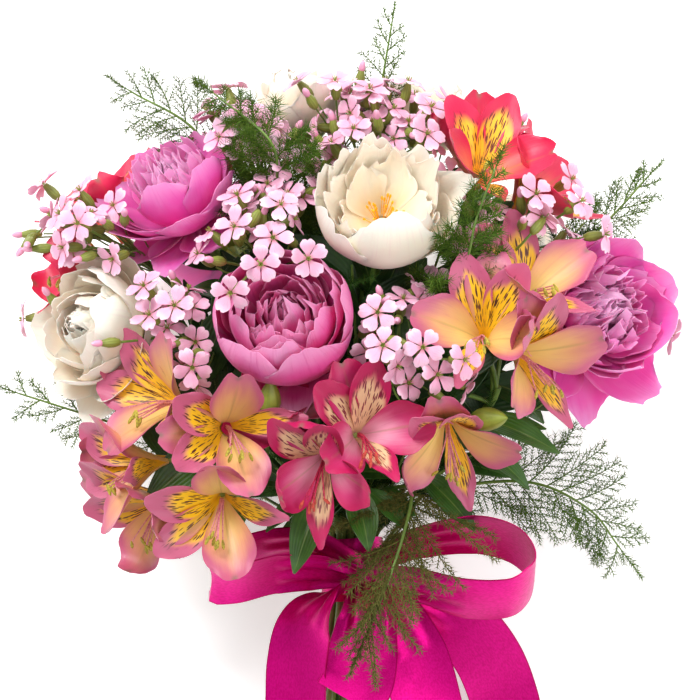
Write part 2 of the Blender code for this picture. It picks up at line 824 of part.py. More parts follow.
def grown(name):
    """A copy of a finished piece, larger by the gap all round, to cut its neighbour with."""
    if name in CUTTERS:
        return raw_object(name, CUTTERS[name])
    shape = bmesh.new()
    shape.from_mesh(PIECES[name].data)
    shape.normal_update()
    for vert in shape.verts:
        vert.co += vert.normal * GAP
    made = raw_object(name + " cutter", shape)
    shape.free()
    return made


def finish_piece(name, shapes, colour_name, colour, cut_by=()):
    """One solid node: the shapes joined, cut clear of the finished pieces in cut_by, and put in place."""
    base = raw_object(name, shapes[0])
    COLLECTION.objects.link(base)
    if len(shapes) > 1:
        boolean(base, [raw_object("part", s) for s in shapes[1:]], "UNION")
    met = [other for other in cut_by if other in CUTTERS or touching(base, PIECES[other])]
    if met:
        boolean(base, [grown(other) for other in met], "DIFFERENCE")
    largest_body(base)
    without_short_edges(base)
    base.data.materials.clear()
    base.data.materials.append(paint(colour_name, colour))
    base.data.shade_smooth()
    base.data.set_sharp_from_angle(angle=SHARP)
    PIECES[name] = base
    PLACED.put(name, base)


NEARLY_MET = 0.1  # of the gap: a bloom is grooved for what comes nearer than this


def touching(a, b, margin=GAP):
    """Whether the two objects come within the margin of each other."""
    shape = bmesh.new()
    shape.from_mesh(a.data)
    shape.normal_update()
    for vert in shape.verts:
        vert.co += vert.normal * margin
    own = BVHTree.FromBMesh(shape)
    point = next(iter(shape.verts)).co.copy()
    shape.free()
    other = bmesh.new()
    other.from_mesh(b.data)
    tree = BVHTree.FromBMesh(other)
    other_point = next(iter(other.verts)).co.copy()
    other.free()
    return bool(tree.overlap(own)) or inside(tree, point) or inside(own, other_point)


def carve(bloom, stem):
    """Makes a groove in a finished bloom for a finished stem that runs between its petals."""
    boolean(PIECES[bloom], [grown(stem)], "DIFFERENCE")
    largest_body(PIECES[bloom])
    without_short_edges(PIECES[bloom])
    PLACED.put(bloom, PIECES[bloom])


def fit_in(name):
    """Grooves every bloom that the finished piece runs through."""
    for bloom in BLOOMS:
        if touching(PIECES[name], PIECES[bloom], NEARLY_MET * GAP):
            carve(bloom, name)


# Stems and leaves

SEPALS = 5
SEPAL_REACH = 0.24  # of the bloom's radius
CUP_DEPTH = 7.0
ROOTED = 1.2  # how far a leaf, a branch or a stalk starts inside what it grows from
LEAF_SIZES = (1.0, 0.85, 0.7, 0.55)  # tried in this order
LEAF_TURNS = (0, 18, -18, 36, -36, 55, -55)


def receptacle(radius):
    """The green cup of sepals under a peony of that radius, with its top at the origin, where the bloom
    sits."""
    rim = SEPAL_REACH * radius + 2.0

    def place(turn, level):
        lobe = abs(math.cos(turn * SEPALS / 2))
        r = (0.0, 3.6, rim * (0.62 + 0.38 * lobe), 0.0)[level]
        h = (-CUP_DEPTH, 1.0 - CUP_DEPTH, 0.8 * lobe - 0.9, 0.0)[level]
        return r * math.cos(turn), r * math.sin(turn), h

    return ball(SEPALS * 2, 3, place)


def grow_leaf(route, y, way, length, width, bend, face):
    """A leaf rooted in a stem at height y and pointing along way, turned or shortened until it is clear."""
    root, along = at_height(route, y)
    way = Vector(way).normalized()
    for size in LEAF_SIZES:
        for turn in LEAF_TURNS:
            ahead = Matrix.Rotation(math.radians(turn), 3, along) @ way
            up = Vector(face)
            up = (up - ahead * up.dot(ahead)).normalized()
            at = Matrix((ahead.cross(up), ahead, up)).transposed().to_4x4()
            at.translation = root - ahead * ROOTED
            shape = leaf(length * size, width * size, bend)
            shape.transform(at)
            if PLACED.shape_is_clear(shape):
                return [shape]
            shape.free()
    return []


# Stem: for each leaf its height on the stem, way, length, width, bend and face
LEAVES = {
    "lily_crimson": (
        (40, (-0.55, -0.35, 0.8), 52, 17, 60, (0.2, 0.75, 0.6)),
        (44, (0.25, -0.25, 0.9), 50, 15, 60, (0, 0.75, 0.6)),
        (52, (0.75, -0.2, 0.5), 46, 13, 45, (0, 0.6, 0.8)),
    ),
    "lily_left": (
        (34, (-0.6, -0.4, 0.6), 44, 13, 50, (0, 0.6, 0.8)),
        (44, (-0.9, 0.1, 0.1), 60, 15, 40, (0, 0.4, 0.9)),
    ),
    "lily_right": (
        (40, (0.8, -0.35, 0.4), 58, 16, 40, (0, 0.4, 0.9)),
        (62, (0.9, -0.1, 0.2), 60, 14, 35, (0, 0.4, 0.9)),
        (80, (0.8, 0.1, 0.5), 50, 14, 35, (0, 0.5, 0.8)),
    ),
    "peony_pink_centre": (
        (92, (-0.7, 0.1, 0.6), 46, 22, 25, (0.2, 0.5, 0.8)),
        (70, (0.6, 0.2, 0.7), 44, 18, 25, (0, 0.5, 0.8)),
    ),
    "peony_pink_right": (
        (80, (0.9, -0.3, -0.3), 66, 24, 30, (0.3, 0.5, 0.7)),
        (108, (0.8, -0.5, 0.1), 52, 20, 30, (0.2, 0.6, 0.7)),
    ),
    "peony_white_left": (
        (70, (-0.9, -0.2, -0.1), 64, 24, 30, (-0.2, 0.5, 0.8)),
    ),
    "peony_pink_left": (
        (150, (-0.8, 0.3, -0.4), 58, 22, 25, (-0.2, 0.4, 0.8)),
    ),
    "peony_white_behind": (
        (190, (0.9, 0.4, 0.1), 66, 22, 25, (0.2, 0.5, 0.8)),
    ),
    "peony_pink_behind": (
        (80, (-0.8, -0.1, -0.5), 62, 26, 20, (-0.4, 0.3, -0.8)),
    ),
    "peony_white_low": (
        (80, (0.8, -0.1, -0.5), 62, 26, 20, (0.4, 0.3, -0.8)),
        (110, (0.0, 0.75, -0.6), 56, 24, 20, (0, 0.3, -0.9)),
    ),
    "lily_coral": (
        (120, (0.9, 0.4, 0.0), 56, 14, 30, (0, 0.5, 0.8)),
    ),
    "lily_coral_left": (
        (110, (-0.9, 0.1, -0.2), 62, 15, 30, (0, 0.4, 0.9)),
        (130, (-0.8, 0.6, 0.0), 50, 13, 30, (0, 0.4, 0.9)),
    ),
}

# Stem: for each green bud the height of its shoot on the stem, its tip, facing, length and radius
BUDS = {
    "lily_right": ((80, (72, 84, 92), (0.0, -0.1, 1.0), 24, 4.2),),
    "peony_pink_right": ((90, (164, 99, -8), (0.9, -0.1, 0.1), 17, 8.0),),
}


def grow_bud(route, y, tip, facing, length, radius):
    """A green bud on a shoot from the stem at height y, where there is room for it."""
    root, along = at_height(route, y)
    tip, facing = Vector(tip), Vector(facing).normalized()
    base = tip - facing * length
    path = relaxed([root, root.lerp(base, 0.5) - facing * 6, base], 1.3)
    inward = root - along * 2
    swell = base + facing * length * 0.45
    bud = spindle([inward, root, path[1], base, swell, tip], (0, 1.3, 1.3, 1.5, radius, 0), 5)
    return [bud] if PLACED.shape_is_clear(bud) else []


def stem_ends():
    """Where each stem's common run ends, and the way that it runs there."""
    ends = {}
    for name, (_, facing, _, _, _) in PEONIES.items():
        facing = Vector(facing).normalized()
        ends[name] = (SEATS[name] - facing * (GAP + 5.0), facing)
    for name, (fork, _, flowers) in LILIES.items():
        fork = Vector(fork)
        middle = sum((Vector(throat) for throat, _, _ in flowers), Vector()) / len(flowers)
        ends[name] = (fork, (middle - fork).normalized() + UP_WAY)
    for name, (middle, facing, _, _, _) in SPRAYS.items():
        facing = Vector(facing).normalized()
        ends[name] = (Vector(middle) - facing * SPRAY_DEPTH, facing * 0.8 + UP_WAY * 0.6)
    for name, (through, _, _, _) in FERNS.items():
        first, second = Vector(through[0]), Vector(through[1])
        ends[name] = (first, (second - first).normalized() + UP_WAY)
    return ends


def finish_stem(name, route, shapes):
    """Adds the stem's leaves and buds and makes it one piece."""
    for leaf_or_bud in LEAVES.get(name, ()):
        shapes += grow_leaf(route, *leaf_or_bud)
    for bud in BUDS.get(name, ()):
        shapes += grow_bud(route, *bud)
    finish_piece(name + "_stem", shapes, "stem green", STEM_GREEN, cut_by=("ground",))
    fit_in(name + "_stem")


def build_peony_stem(name):
    del PLACED.trees[name + " route"]
    seat, radius = SEATS[name], PEONY_STEM / 2
    facing = Vector(PEONIES[name][1]).normalized()
    route = ROUTES[name]
    cup = receptacle(PEONIES[name][2])
    cup.transform(turned(seat - facing * GAP, facing))
    finish_stem(name, route, [tube(route, [radius] * len(route), 1), cup])


OVARY = 8.0
OVARY_RADIUS = 3.2
STALK_RADIUS = 1.3
ROOT_STEP = 3.4  # between the roots of two stalks on a stem


def build_lily_stem(name):
    del PLACED.trees[name + " route"]
    fork, _, flowers = LILIES[name]
    route = ROUTES[name]
    along = (route[-1] - route[-2]).normalized()
    shapes = [tube(route, [LILY_STEM / 2] * len(route), 0)]
    for i, (throat, facing, _) in enumerate(flowers, 1):
        own = f"{name}_flower_{i}"
        facing = Vector(facing).normalized()
        seat = Vector(throat) - facing * LILY_THROAT
        top = seat - facing * GAP
        low = top - facing * OVARY
        fork = route[-1] - along * (ROOT_STEP * (i - 0.5))
        stalk = curve_between(fork, (low - fork).normalized() + along * 0.5, low, facing, 3)
        stalk = relaxed([fork] + stalk, STALK_RADIUS, skip=(own,))
        rooted = fork - (stalk[1] - fork).normalized() * 1.5
        path = [rooted] + stalk + [low + facing * 1.5, top - facing, top]
        radii = [0] + [STALK_RADIUS] * len(stalk) + [OVARY_RADIUS * 0.9, OVARY_RADIUS, 0]
        shapes.append(spindle(path, radii))
    finish_stem(name, route, shapes)


# Sprays

OWN_ROOM = 17.0  # between two florets of one spray
BUD_EACH = 5  # one floret in this many is a bud
GOLDEN_ANGLE = math.radians(137.5)
DOMED = 0.010  # how far a floret sits back from the head's middle, over its squared distance from it
LIFTS = (0, 6, 12, 18, -8, 24)  # tried in this order to keep a floret clear


def on_stalk(fork, place, way, is_open, spin):
    """A floret or a bud at place, facing along way, with its calyx and its stalk from the fork; or None."""
    seat = place - way * CALYX_LENGTH
    bend = relaxed([fork, fork.lerp(seat, 0.55) - way * 3, seat], 0.8)[1]
    inward = fork + (fork - bend).normalized() * ROOTED
    path = [inward, fork, bend, seat, seat + way * 0.35 * CALYX_LENGTH]
    tip = place + way * (0.4 if is_open else 6.0)
    shapes = [spindle(path + [tip], (0, 0.8, 0.75, 0.9, CALYX_BELLY, 0))]
    if is_open:
        shapes.append(corolla())
        shapes[1].transform(turned(place, way, spin))
    if all(PLACED.shape_is_clear(shape) for shape in shapes):
        return shapes
    for shape in shapes:
        shape.free()
    return None


def build_spray(name):
    del PLACED.trees[name + " route"]
    middle, facing, reach, count, roll = SPRAYS[name]
    middle, facing = Vector(middle), Vector(facing).normalized()
    rng = random.Random(name)
    route = ROUTES[name]
    along = (route[-1] - route[-2]).normalized()
    shapes = [tube(route, [SPRAY_STEM / 2] * len(route), 0)]
    frame = turned(middle, facing, roll).to_3x3()
    heads = []
    for i in range(count):
        spread = reach * math.sqrt((i + 0.4) / count)
        turn = i * GOLDEN_ANGLE
        aside = frame @ Vector((math.cos(turn), math.sin(turn), 0))
        way = (facing * 1.1 + aside * (0.9 * spread / reach)).normalized()
        spin = rng.uniform(0, 72)
        root = route[-1] - along * (1.5 + ROOT_STEP * (len(heads) % 7))
        for lift in LIFTS:
            place = middle + aside * spread + facing * (lift - DOMED * spread**2 + rng.uniform(-3, 3))
            if any((place - other).length < OWN_ROOM for other in heads):
                continue
            found = on_stalk(root, place, way, i % BUD_EACH != BUD_EACH - 1, spin)
            if found:
                heads.append(place)
                shapes += found
                break
    finish_piece(name, shapes, "soapwort pink", PALE_PINK, cut_by=("ground",))
    fit_in(name)


# Ferns


def along_curve(points, steps):
    """Evenly spread points on a smooth curve through the given points."""
    padded = [points[0] * 2 - points[1]] + points + [points[-1] * 2 - points[-2]]
    found = []
    for i in range(len(points) - 1):
        p0, p1, p2, p3 = padded[i : i + 4]
        for k in range(steps):
            t = k / steps
            a = p1 * 2 + (p2 - p0) * t
            b = (p0 * 2 - p1 * 5 + p2 * 4 - p3) * t**2 + (p1 * 3 - p0 - p2 * 3 + p3) * t**3
            found.append((a + b) / 2)
    return found + [points[-1]]


BRANCH_SIZES = (1.0, 0.75, 0.5)
BRANCH_LIFTS = (0.0, 0.5, -0.5, 1.0)


def fern_branch(at, ahead, side, normal, length, rng):
    """One side branch, tried at a few sizes and angles; nothing where there is no room."""
    for size in BRANCH_SIZES:
        for lift in BRANCH_LIFTS:
            way = (ahead * 0.62 + side * 0.78 + normal * (lift + rng.uniform(-0.12, 0.12))).normalized()
            across = way.cross(normal).normalized()
            frame = Matrix((across, way, across.cross(way))).transposed().to_4x4()
            frame.translation = at - way * ROOTED
            shape = feather(length * size, rng.uniform(-4, 4))
            shape.transform(frame)
            if PLACED.shape_is_clear(shape):
                return [shape]
            shape.free()
    return []


def build_fern(name):
    del PLACED.trees[name + " route"]
    through, longest, count, flat_way = FERNS[name]
    rng = random.Random(name)
    radius = FERN_STEM / 2
    common = ROUTES[name]
    through = [common[-2], common[-1]] + [Vector(p) for p in through[1:]]
    upper = relaxed(along_curve(through, 2)[2:], radius)
    route = common + upper[1:]
    start = len(common) - 1
    taper = [max(0.35, 1 - 0.7 * (i - start) / (len(route) - start)) for i in range(start, len(route))]
    shapes = [tube(route, [radius] * start + [radius * share for share in taper], 0)]
    line = dense(route[start:], 1.0)
    for i in range(count):
        t = (i + 0.6) / count
        k = int(t * (len(line) - 1))
        ahead = (line[min(len(line) - 1, k + 4)] - line[max(0, k - 4)]).normalized()
        side = Vector(flat_way)
        side = (side - ahead * side.dot(ahead)).normalized() * (1 if i % 2 else -1)
        length = longest * (0.30 + 0.70 * math.sin(math.pi * (0.12 + 0.80 * t)))
        shapes += fern_branch(line[k], ahead, side, ahead.cross(side), length, rng)
    ahead = (line[-1] - line[-4]).normalized()
    side = Vector(flat_way)
    side = (side - ahead * side.dot(ahead)).normalized()
    shapes += fern_branch(line[-1], ahead, ahead * 0.4, ahead.cross(side), longest * 0.5, rng)
    finish_piece(name, shapes, "fern green", FERN_GREEN, cut_by=("ground",))
    fit_in(name)


# Ribbon

KNOT = (6.0, 0.0)
KNOT_HALF = (11.0, 13.0, 6.5)
KNOT_RINGS = 6
WIDTH_SHARES = (0.36, 0.85, 1.0)  # of the ribbon's width, at the knot and one and two points from it

# Name: points of the middle line, the way that its width lies at the first and at the last, and whether it
# comes back to the knot
BOW = {
    "loop_right": (
        ((9, 3, 26), (36, 16, 32), (66, 20, 35), (88, 14, 37), (97, 0, 41), (86, -13, 45),
         (60, -14, 43), (34, -8, 37), (9, -3, 29)),
        (0.0, 0.55, 0.83), (0.0, 0.62, 0.78), True,
    ),
    "loop_left": (
        ((3, 3, 26), (-22, 12, 31), (-48, 10, 33), (-70, 1, 36), (-76, -9, 40), (-62, -12, 44),
         (-40, -7, 43), (-18, -4, 37), (3, -3, 29)),
        (0.0, 0.55, 0.83), (0.1, 0.6, 0.78), True,
    ),
    "tail_left": (
        ((2, -5.5, 28.5), (-13, -13, 36.5), (-25, -28, 38), (-30, -50, 37), (-31, -76, 36),
         (-36, -104, 35), (-46, -128, 30)),
        (0.7, 0.5, 0.5), (0.95, -0.1, 0.5), False,
    ),
    "tail_middle": (
        ((5, -7, 29.5), (8, -24, 38), (4, -42, 41), (-4, -58, 42), (-16, -70, 42)),
        (0.9, 0.0, 0.3), (0.75, -0.6, 0.1), False,
    ),
    "tail_centre": (
        ((9, -6, 28), (22, -24, 34), (33, -46, 34), (40, -68, 33), (45, -92, 31), (46, -116, 28)),
        (0.9, 0.3, 0.2), (0.95, 0.1, -0.45), False,
    ),
    "tail_right": (
        ((11, -4, 27), (36, -14, 30), (58, -28, 22), (74, -48, 6), (84, -72, -14), (90, -98, -30),
         (98, -124, -33)),
        (0.5, 0.75, 0.4), (0.95, 0.25, 0.1), False,
    ),
}


def strip(points, first_across, last_across, comes_back):
    """A ribbon along the points: an open sheet made solid, its width turning evenly from end to end."""
    count = len(points)
    points = [Vector(p) for p in points]
    sheet = bmesh.new()
    bmesh.ops.create_grid(sheet, x_segments=1, y_segments=count - 1, size=1.0)
    for vert in sheet.verts:
        i = round((vert.co.y + 1) / 2 * (count - 1))
        side = 1 if vert.co.x > 0 else -1
        along = points[min(i + 1, count - 1)] - points[max(i - 1, 0)]
        across = Vector(first_across).lerp(Vector(last_across), i / (count - 1))
        across = (across - along * across.dot(along) / along.length_squared).normalized()
        from_knot = min(i, count - 1 - i) if comes_back else i
        share = WIDTH_SHARES[min(from_knot, 2)]
        vert.co = points[i] + across * (side * share * RIBBON_WIDTH / 2)
    sheet.normal_update()
    bmesh.ops.solidify(sheet, geom=sheet.faces[:], thickness=RIBBON_THICK)
    bmesh.ops.recalc_face_normals(sheet, faces=sheet.faces[:])
    return sheet


BAND_SIDES = 20


def build_ribbon(spots):
    """The band round all the stems, and the knot in front of it with its loops and tails."""
    inner = max(spot.length + radius for spot, radius in spots.values()) + GAP
    wall = bmesh.new()
    corner = inner / math.cos(math.pi / BAND_SIDES)
    bmesh.ops.create_cone(
        wall, cap_ends=False, segments=BAND_SIDES, radius1=corner, radius2=corner, depth=BAND_HEIGHT
    )
    bmesh.ops.rotate(wall, verts=wall.verts, matrix=Matrix.Rotation(math.pi / 2, 3, "X"))
    wall.normal_update()
    bmesh.ops.solidify(wall, geom=wall.faces[:], thickness=-RIBBON_THICK)
    bmesh.ops.recalc_face_normals(wall, faces=wall.faces[:])
    finish_piece("ribbon_band", [wall], "satin magenta", MAGENTA)
    front = inner + RIBBON_THICK + GAP + KNOT_HALF[2]

    def place(turn, level):
        slant = math.pi * level / KNOT_RINGS
        x = KNOT_HALF[0] * math.sin(slant) * math.cos(turn)
        y = KNOT_HALF[1] * math.sin(slant) * math.sin(turn)
        return KNOT[0] + x, KNOT[1] + y, front - KNOT_HALF[2] * math.cos(slant)

    shapes = [ball(8, KNOT_RINGS, place)] + [strip(*BOW[name]) for name in BOW]
    finish_piece("ribbon_bow", shapes, "satin magenta", MAGENTA, cut_by=("ribbon_band", "ground"))


# The whole bouquet

GROUND = 1000.0
STEM_PRESS = 0.5  # the lowest cut stem end is pressed flat by this much


def ground_under(spots):
    """A block whose top is the surface that the bouquet lies on, just above the lowest cut stem ends."""
    up = Vector((0, math.sin(LAY_TILT), math.cos(LAY_TILT)))
    low = min(up.dot(lower_route(name, spot)[0]) - radius for name, (spot, radius) in spots.items())
    top = low + STEM_PRESS
    block = bmesh.new()
    bmesh.ops.create_cube(block, size=GROUND)
    stood = Matrix.Rotation(LAY_TILT, 4, "X").inverted()
    block.transform(stood @ Matrix.Translation((0, 0, top - GROUND / 2)))
    return block, up, top


def lily_among_others(at):
    """A lily flower at its place, with each tepal bent to where it meets least of what is there."""

    def flower(bends):
        shape = lily(bends)
        shape.transform(at)
        return shape

    def crowding(bends):
        shape = flower(bends)
        tree = BVHTree.FromBMesh(shape)
        shape.faces.ensure_lookup_table()
        corners = [set(face.verts) for face in shape.faces]
        own = sum(1 for a, b in tree.overlap(tree) if not corners[a] & corners[b])
        shape.free()
        return own + sum(len(other.overlap(tree)) for other in PLACED.trees.values())

    bends = [0] * LILY_TEPALS
    for k in range(LILY_TEPALS):
        least = crowding(bends)
        for bend in LILY_BENDS[1:]:
            if not least:
                break
            tried = bends[:k] + [bend] + bends[k + 1 :]
            met = crowding(tried)
            if met < least:
                bends, least = tried, met
    return flower(bends)


def build_blooms(up, top):
    """The peonies, of which two are pressed to the surface that the bouquet lies on, and the lily flowers."""
    for name, (_, facing, radius, form, colour) in PEONIES.items():
        shape = peony(name, radius, form)
        shape.transform(turned(SEATS[name], facing, random.Random(name).uniform(0, 72)))
        if name in RESTING:
            drop = up * (top - PRESS - min(up.dot(v.co) for v in shape.verts))
            shape.transform(Matrix.Translation(drop))
            SEATS[name] += drop
        finish_piece(name, [shape], PEONY_PAINT[colour], colour, cut_by=("ground", *BLOOMS))
        BLOOMS.append(name)
    for name, (_, colour, flowers) in LILIES.items():
        for i, (throat, facing, roll) in enumerate(flowers, 1):
            seat = Vector(throat) - Vector(facing).normalized() * LILY_THROAT
            shape = lily_among_others(turned(seat, facing, roll))
            piece = f"{name}_flower_{i}"
            finish_piece(piece, [shape], name + " petals", colour, cut_by=tuple(BLOOMS))
            BLOOMS.append(piece)


def lay_down():
    """Puts the pieces on their empty, in metres and laid down, with the middle of their underside at the
    origin."""
    laid = bpy.data.objects.new("bouquet", None)
    COLLECTION.objects.link(laid)
    laid.scale = (MM, MM, MM)
    laid.rotation_euler = (LAY_TILT, 0, 0)
    turn = Matrix.Rotation(LAY_TILT, 3, "X")
    corners = [turn @ vert.co for piece in PIECES.values() for vert in piece.data.vertices]
    low = [min(corner[k] for corner in corners) for k in range(3)]
    high = [max(corner[k] for corner in corners) for k in range(3)]
    laid.location = (-MM * (low[0] + high[0]) / 2, -MM * (low[1] + high[1]) / 2, -MM * low[2])
    for piece in PIECES.values():
        piece.parent = laid


def main():
    for obj in list(bpy.data.objects):
        bpy.data.objects.remove(obj)
    bpy.context.scene.collection.children.link(COLLECTION)
    SEATS.update({name: seat_of_peony(name) for name in PEONIES})
    spots = at_tie()
    block, up, top = ground_under(spots)
    CUTTERS["ground"] = block
    PLACED.add("ground", block)
    build_blooms(up, top)
    build_ribbon(spots)
    ends = stem_ends()
    crowd = bmesh.new()
    for piece in PIECES.values():
        crowd.from_mesh(piece.data)
    routes = bundle(spots, ends, BVHTree.FromBMesh(crowd))
    crowd.free()
    for name, (spot, _) in spots.items():
        ROUTES[name] = lower_route(name, spot)[:-1] + routes[name]
        reserved = tube(ROUTES[name], [spots[name][1]] * len(ROUTES[name]), 0)
        PLACED.add(name + " route", reserved)
        reserved.free()
    for name in PEONIES:
        build_peony_stem(name)
    for name in LILIES:
        build_lily_stem(name)
    for name in SPRAYS:
        build_spray(name)
    for name in FERNS:
        build_fern(name)
    lay_down()


main()
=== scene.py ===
"""Looks of the hand-tied peony bouquet: peonies, Peruvian lilies, soapwort sprays and asparagus fern, tied
with a satin ribbon and laid down on its back.

Everything is shaped in the bouquet's own frame, in millimetres: x to the right, y up along the stems and z
to the front, with the tie at the origin. piece() takes it to the part's frame, in metres. What replaces a CAD
node reads its place from that node."""

import math
import random
from collections import namedtuple

import bpy
import numpy as np
from mathutils import Matrix, Vector
from mathutils.bvhtree import BVHTree


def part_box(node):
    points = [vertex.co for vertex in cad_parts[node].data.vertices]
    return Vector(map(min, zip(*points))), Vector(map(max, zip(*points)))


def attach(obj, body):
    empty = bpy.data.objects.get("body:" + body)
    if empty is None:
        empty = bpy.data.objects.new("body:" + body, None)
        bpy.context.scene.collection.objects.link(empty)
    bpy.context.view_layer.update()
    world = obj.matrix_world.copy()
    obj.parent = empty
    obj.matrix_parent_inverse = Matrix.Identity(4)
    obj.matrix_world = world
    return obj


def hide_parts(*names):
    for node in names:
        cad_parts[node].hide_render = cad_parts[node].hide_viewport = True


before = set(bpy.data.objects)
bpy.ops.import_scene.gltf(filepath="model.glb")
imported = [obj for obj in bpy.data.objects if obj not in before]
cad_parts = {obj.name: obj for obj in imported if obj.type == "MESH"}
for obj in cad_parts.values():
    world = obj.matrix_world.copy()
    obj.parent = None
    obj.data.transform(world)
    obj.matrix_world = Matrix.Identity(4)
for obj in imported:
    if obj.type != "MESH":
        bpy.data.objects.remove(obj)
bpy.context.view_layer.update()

MM = 0.001
LAY_TILT = math.radians(12.0)
TIE = sum(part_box("ribbon_band"), Vector()) / 2
TO_WORLD = Matrix.Translation(TIE) @ Matrix.Rotation(LAY_TILT, 4, "X") @ Matrix.Scale(MM, 4)
TO_BOUQUET = TO_WORLD.inverted()

PEONY_STEM = 5.6
LILY_STEM = 4.6
SPRAY_STEM = 3.0
FERN_STEM = 2.6
STEM_STEP = 4.0
RIBBON_WIDTH = 38.0

# Name: centre, facing, radius, form, paint
PEONIES = {
    "peony_pink_left": ((-94, 206, 26), (-0.40, 0.72, 0.55), 37, "open", "pink_petals"),
    "peony_pink_centre": ((-35, 134, 72), (-0.12, 0.42, 0.90), 38, "cup", "deep_pink_petals"),
    "peony_pink_right": ((134, 141, 28), (0.50, 0.22, 0.84), 42, "wide", "pink_petals"),
    "peony_white_centre": ((17, 196, 62), (0.05, 0.40, 0.90), 37, "bowl", "white_petals"),
    "peony_white_left": ((-136, 131, 20), (-0.62, 0.20, 0.72), 38, "soft", "white_petals"),
    "peony_white_top": ((-30, 254, -22), (-0.25, 0.95, 0.10), 33, "soft", "white_petals"),
    "peony_white_behind": ((43, 250, -42), (0.25, 0.92, -0.15), 32, "soft", "white_petals"),
    "peony_pink_behind": ((-76, 184, -66), (-0.40, 0.38, -0.82), 35, "open", "pink_petals"),
    "peony_white_low": ((84, 176, -66), (0.42, 0.35, -0.83), 35, "soft", "white_petals"),
}

# Stem name: where its flower stalks fork, kind, then for each flower its throat, facing, roll in degrees
LILIES = {
    "lily_left": ((-78, 66, 34), "gold", (
        ((-62, 78, 86), (0.25, -0.05, 0.95), 96),
        ((-106, 95, 62), (-0.72, 0.22, 0.62), 60),
        ((-122, 58, 50), (-0.90, -0.08, 0.42), 80),
        ((-70, 34, 76), (-0.02, -0.35, 0.93), 96),
        ((-112, 30, 34), (-0.60, -0.50, 0.55), 60),
    )),
    "lily_right": ((80, 104, 34), "gold", (
        ((68, 131, 86), (-0.10, 0.28, 0.95), -12),
        ((97, 156, 66), (0.36, 0.58, 0.68), 30),
        ((100, 113, 72), (0.62, -0.25, 0.72), 30),
        ((53, 68, 76), (0.12, -0.70, 0.68), 20),
    )),
    "lily_crimson": ((-10, 70, 40), "crimson", (
        ((-19, 54, 88), (-0.25, -0.45, 0.85), 0),
        ((8, 75, 92), (0.25, 0.02, 0.96), 20),
        ((-32, 90, 64), (-0.22, 0.30, 0.92), 30),
    )),
    "lily_coral": ((66, 178, 14), "coral", (
        ((73, 222, 46), (0.25, 0.55, 0.80), 0),
        ((104, 206, 22), (0.80, 0.50, 0.25), 20),
        ((72, 226, 4), (0.35, 0.90, -0.10), 20),
    )),
    "lily_coral_left": ((-118, 165, -16), "coral", (
        ((-138, 200, -12), (-0.50, 0.75, 0.20), 0),
        ((-152, 168, -10), (-0.95, 0.15, 0.25), 20),
    )),
}

# Name: middle of the head, facing, reach, number of florets, roll in degrees, then how many florets and buds
# there are beside those of the CAD spray, and how far they spread, as a share of its reach
SPRAYS = {
    "soapwort_centre": ((-50, 178, 88), (-0.12, 0.30, 0.94), 36, 8, 10, 12, 1.10),
    "soapwort_left_low": ((-108, 128, 72), (-0.42, 0.05, 0.90), 28, 7, 0, 10, 1.15),
    "soapwort_left": ((-160, 190, 30), (-0.85, 0.35, 0.40), 28, 7, 30, 16, 1.40),
    "soapwort_top_left": ((-68, 246, 28), (-0.35, 0.85, 0.40), 38, 8, 20, 24, 1.45),
    "soapwort_top": ((26, 262, 26), (0.12, 0.88, 0.42), 36, 8, 40, 24, 1.45),
    "soapwort_right": ((112, 196, 58), (0.50, 0.45, 0.74), 36, 8, 5, 22, 1.30),
    "soapwort_front": ((30, 118, 106), (0.10, 0.08, 0.98), 36, 9, 25, 12, 1.10),
    "soapwort_behind": ((2, 196, -72), (0.05, 0.40, -0.90), 32, 6, 0, 10, 1.20),
}

# Name: points that the frond runs through after the tie, longest side branch, number of branches, and the way
# that its width lies
FERNS = {
    "fern_centre_left": (
        ((-38, 172, -6), (-40, 208, 42), (-44, 232, 58), (-74, 258, 40)), 34, 10, (1, 0.2, 0.3),
    ),
    "fern_top_left": (((-60, 190, -10), (-84, 238, 8), (-122, 262, 10)), 30, 9, (0.3, 1, 0.3)),
    "fern_right_plume": (
        ((36, 130, 30), (58, 160, 74), (66, 190, 84), (76, 216, 80)), 26, 12, (1, 0, -0.3),
    ),
    "fern_top": (((8, 200, -6), (14, 250, -4), (22, 300, 0)), 22, 9, (1, 0.1, 0.4)),
    "fern_right": (((96, 150, -20), (140, 190, -14), (162, 214, -8)), 28, 10, (0.4, -0.6, 0.7)),
    "fern_right_low": (
        ((50, 44, 0), (92, 48, 8), (128, 34, 18), (146, 12, 18)), 40, 12, (0.4, 0.9, 0.1),
    ),
    "fern_left_low": (((-62, 50, -4), (-126, 78, 0), (-182, 96, 10)), 30, 9, (0.3, -0.9, 0.3)),
    "fern_over_ribbon": (((22, 46, 20), (32, 42, 48), (22, 4, 66), (6, -36, 62)), 36, 14, (1, 0, 0)),
}


def framed(y, z, point):
    """A matrix that takes local Y and Z to these ways and the origin to the point."""
    at = Matrix((y.cross(z), y, z)).transposed().to_4x4()
    at.translation = Vector(point)
    return at


def square_to(way, other):
    """The part of a way that is square to the other one."""
    return (way - other * way.dot(other)).normalized()


def spun(degrees):
    return Matrix.Rotation(math.radians(degrees), 4, "Z")


def turned(point, facing, roll=0.0):
    """Puts local +Z along facing at point, with local +Y as near to the bouquet's up as it can be, and turns
    that by roll degrees about Z."""
    z = Vector(facing).normalized()
    up = Vector((0, 1, 0)) if abs(z.y) < 0.97 else Vector((0, 0, 1))
    return framed(square_to(up, z), z, point) @ spun(roll)


def moved(points, matrix):
    m = np.array(matrix)
    return points @ m[:3, :3].T + m[:3, 3]


def unit(vectors):
    vectors = np.asarray(vectors, float)
    return vectors / np.maximum(np.linalg.norm(vectors, axis=-1, keepdims=True), 1e-9)


def on_circle(turn, radius=1.0, height=0.0):
    return np.array((math.cos(turn) * radius, math.sin(turn) * radius, height))


# Reading places from the frame


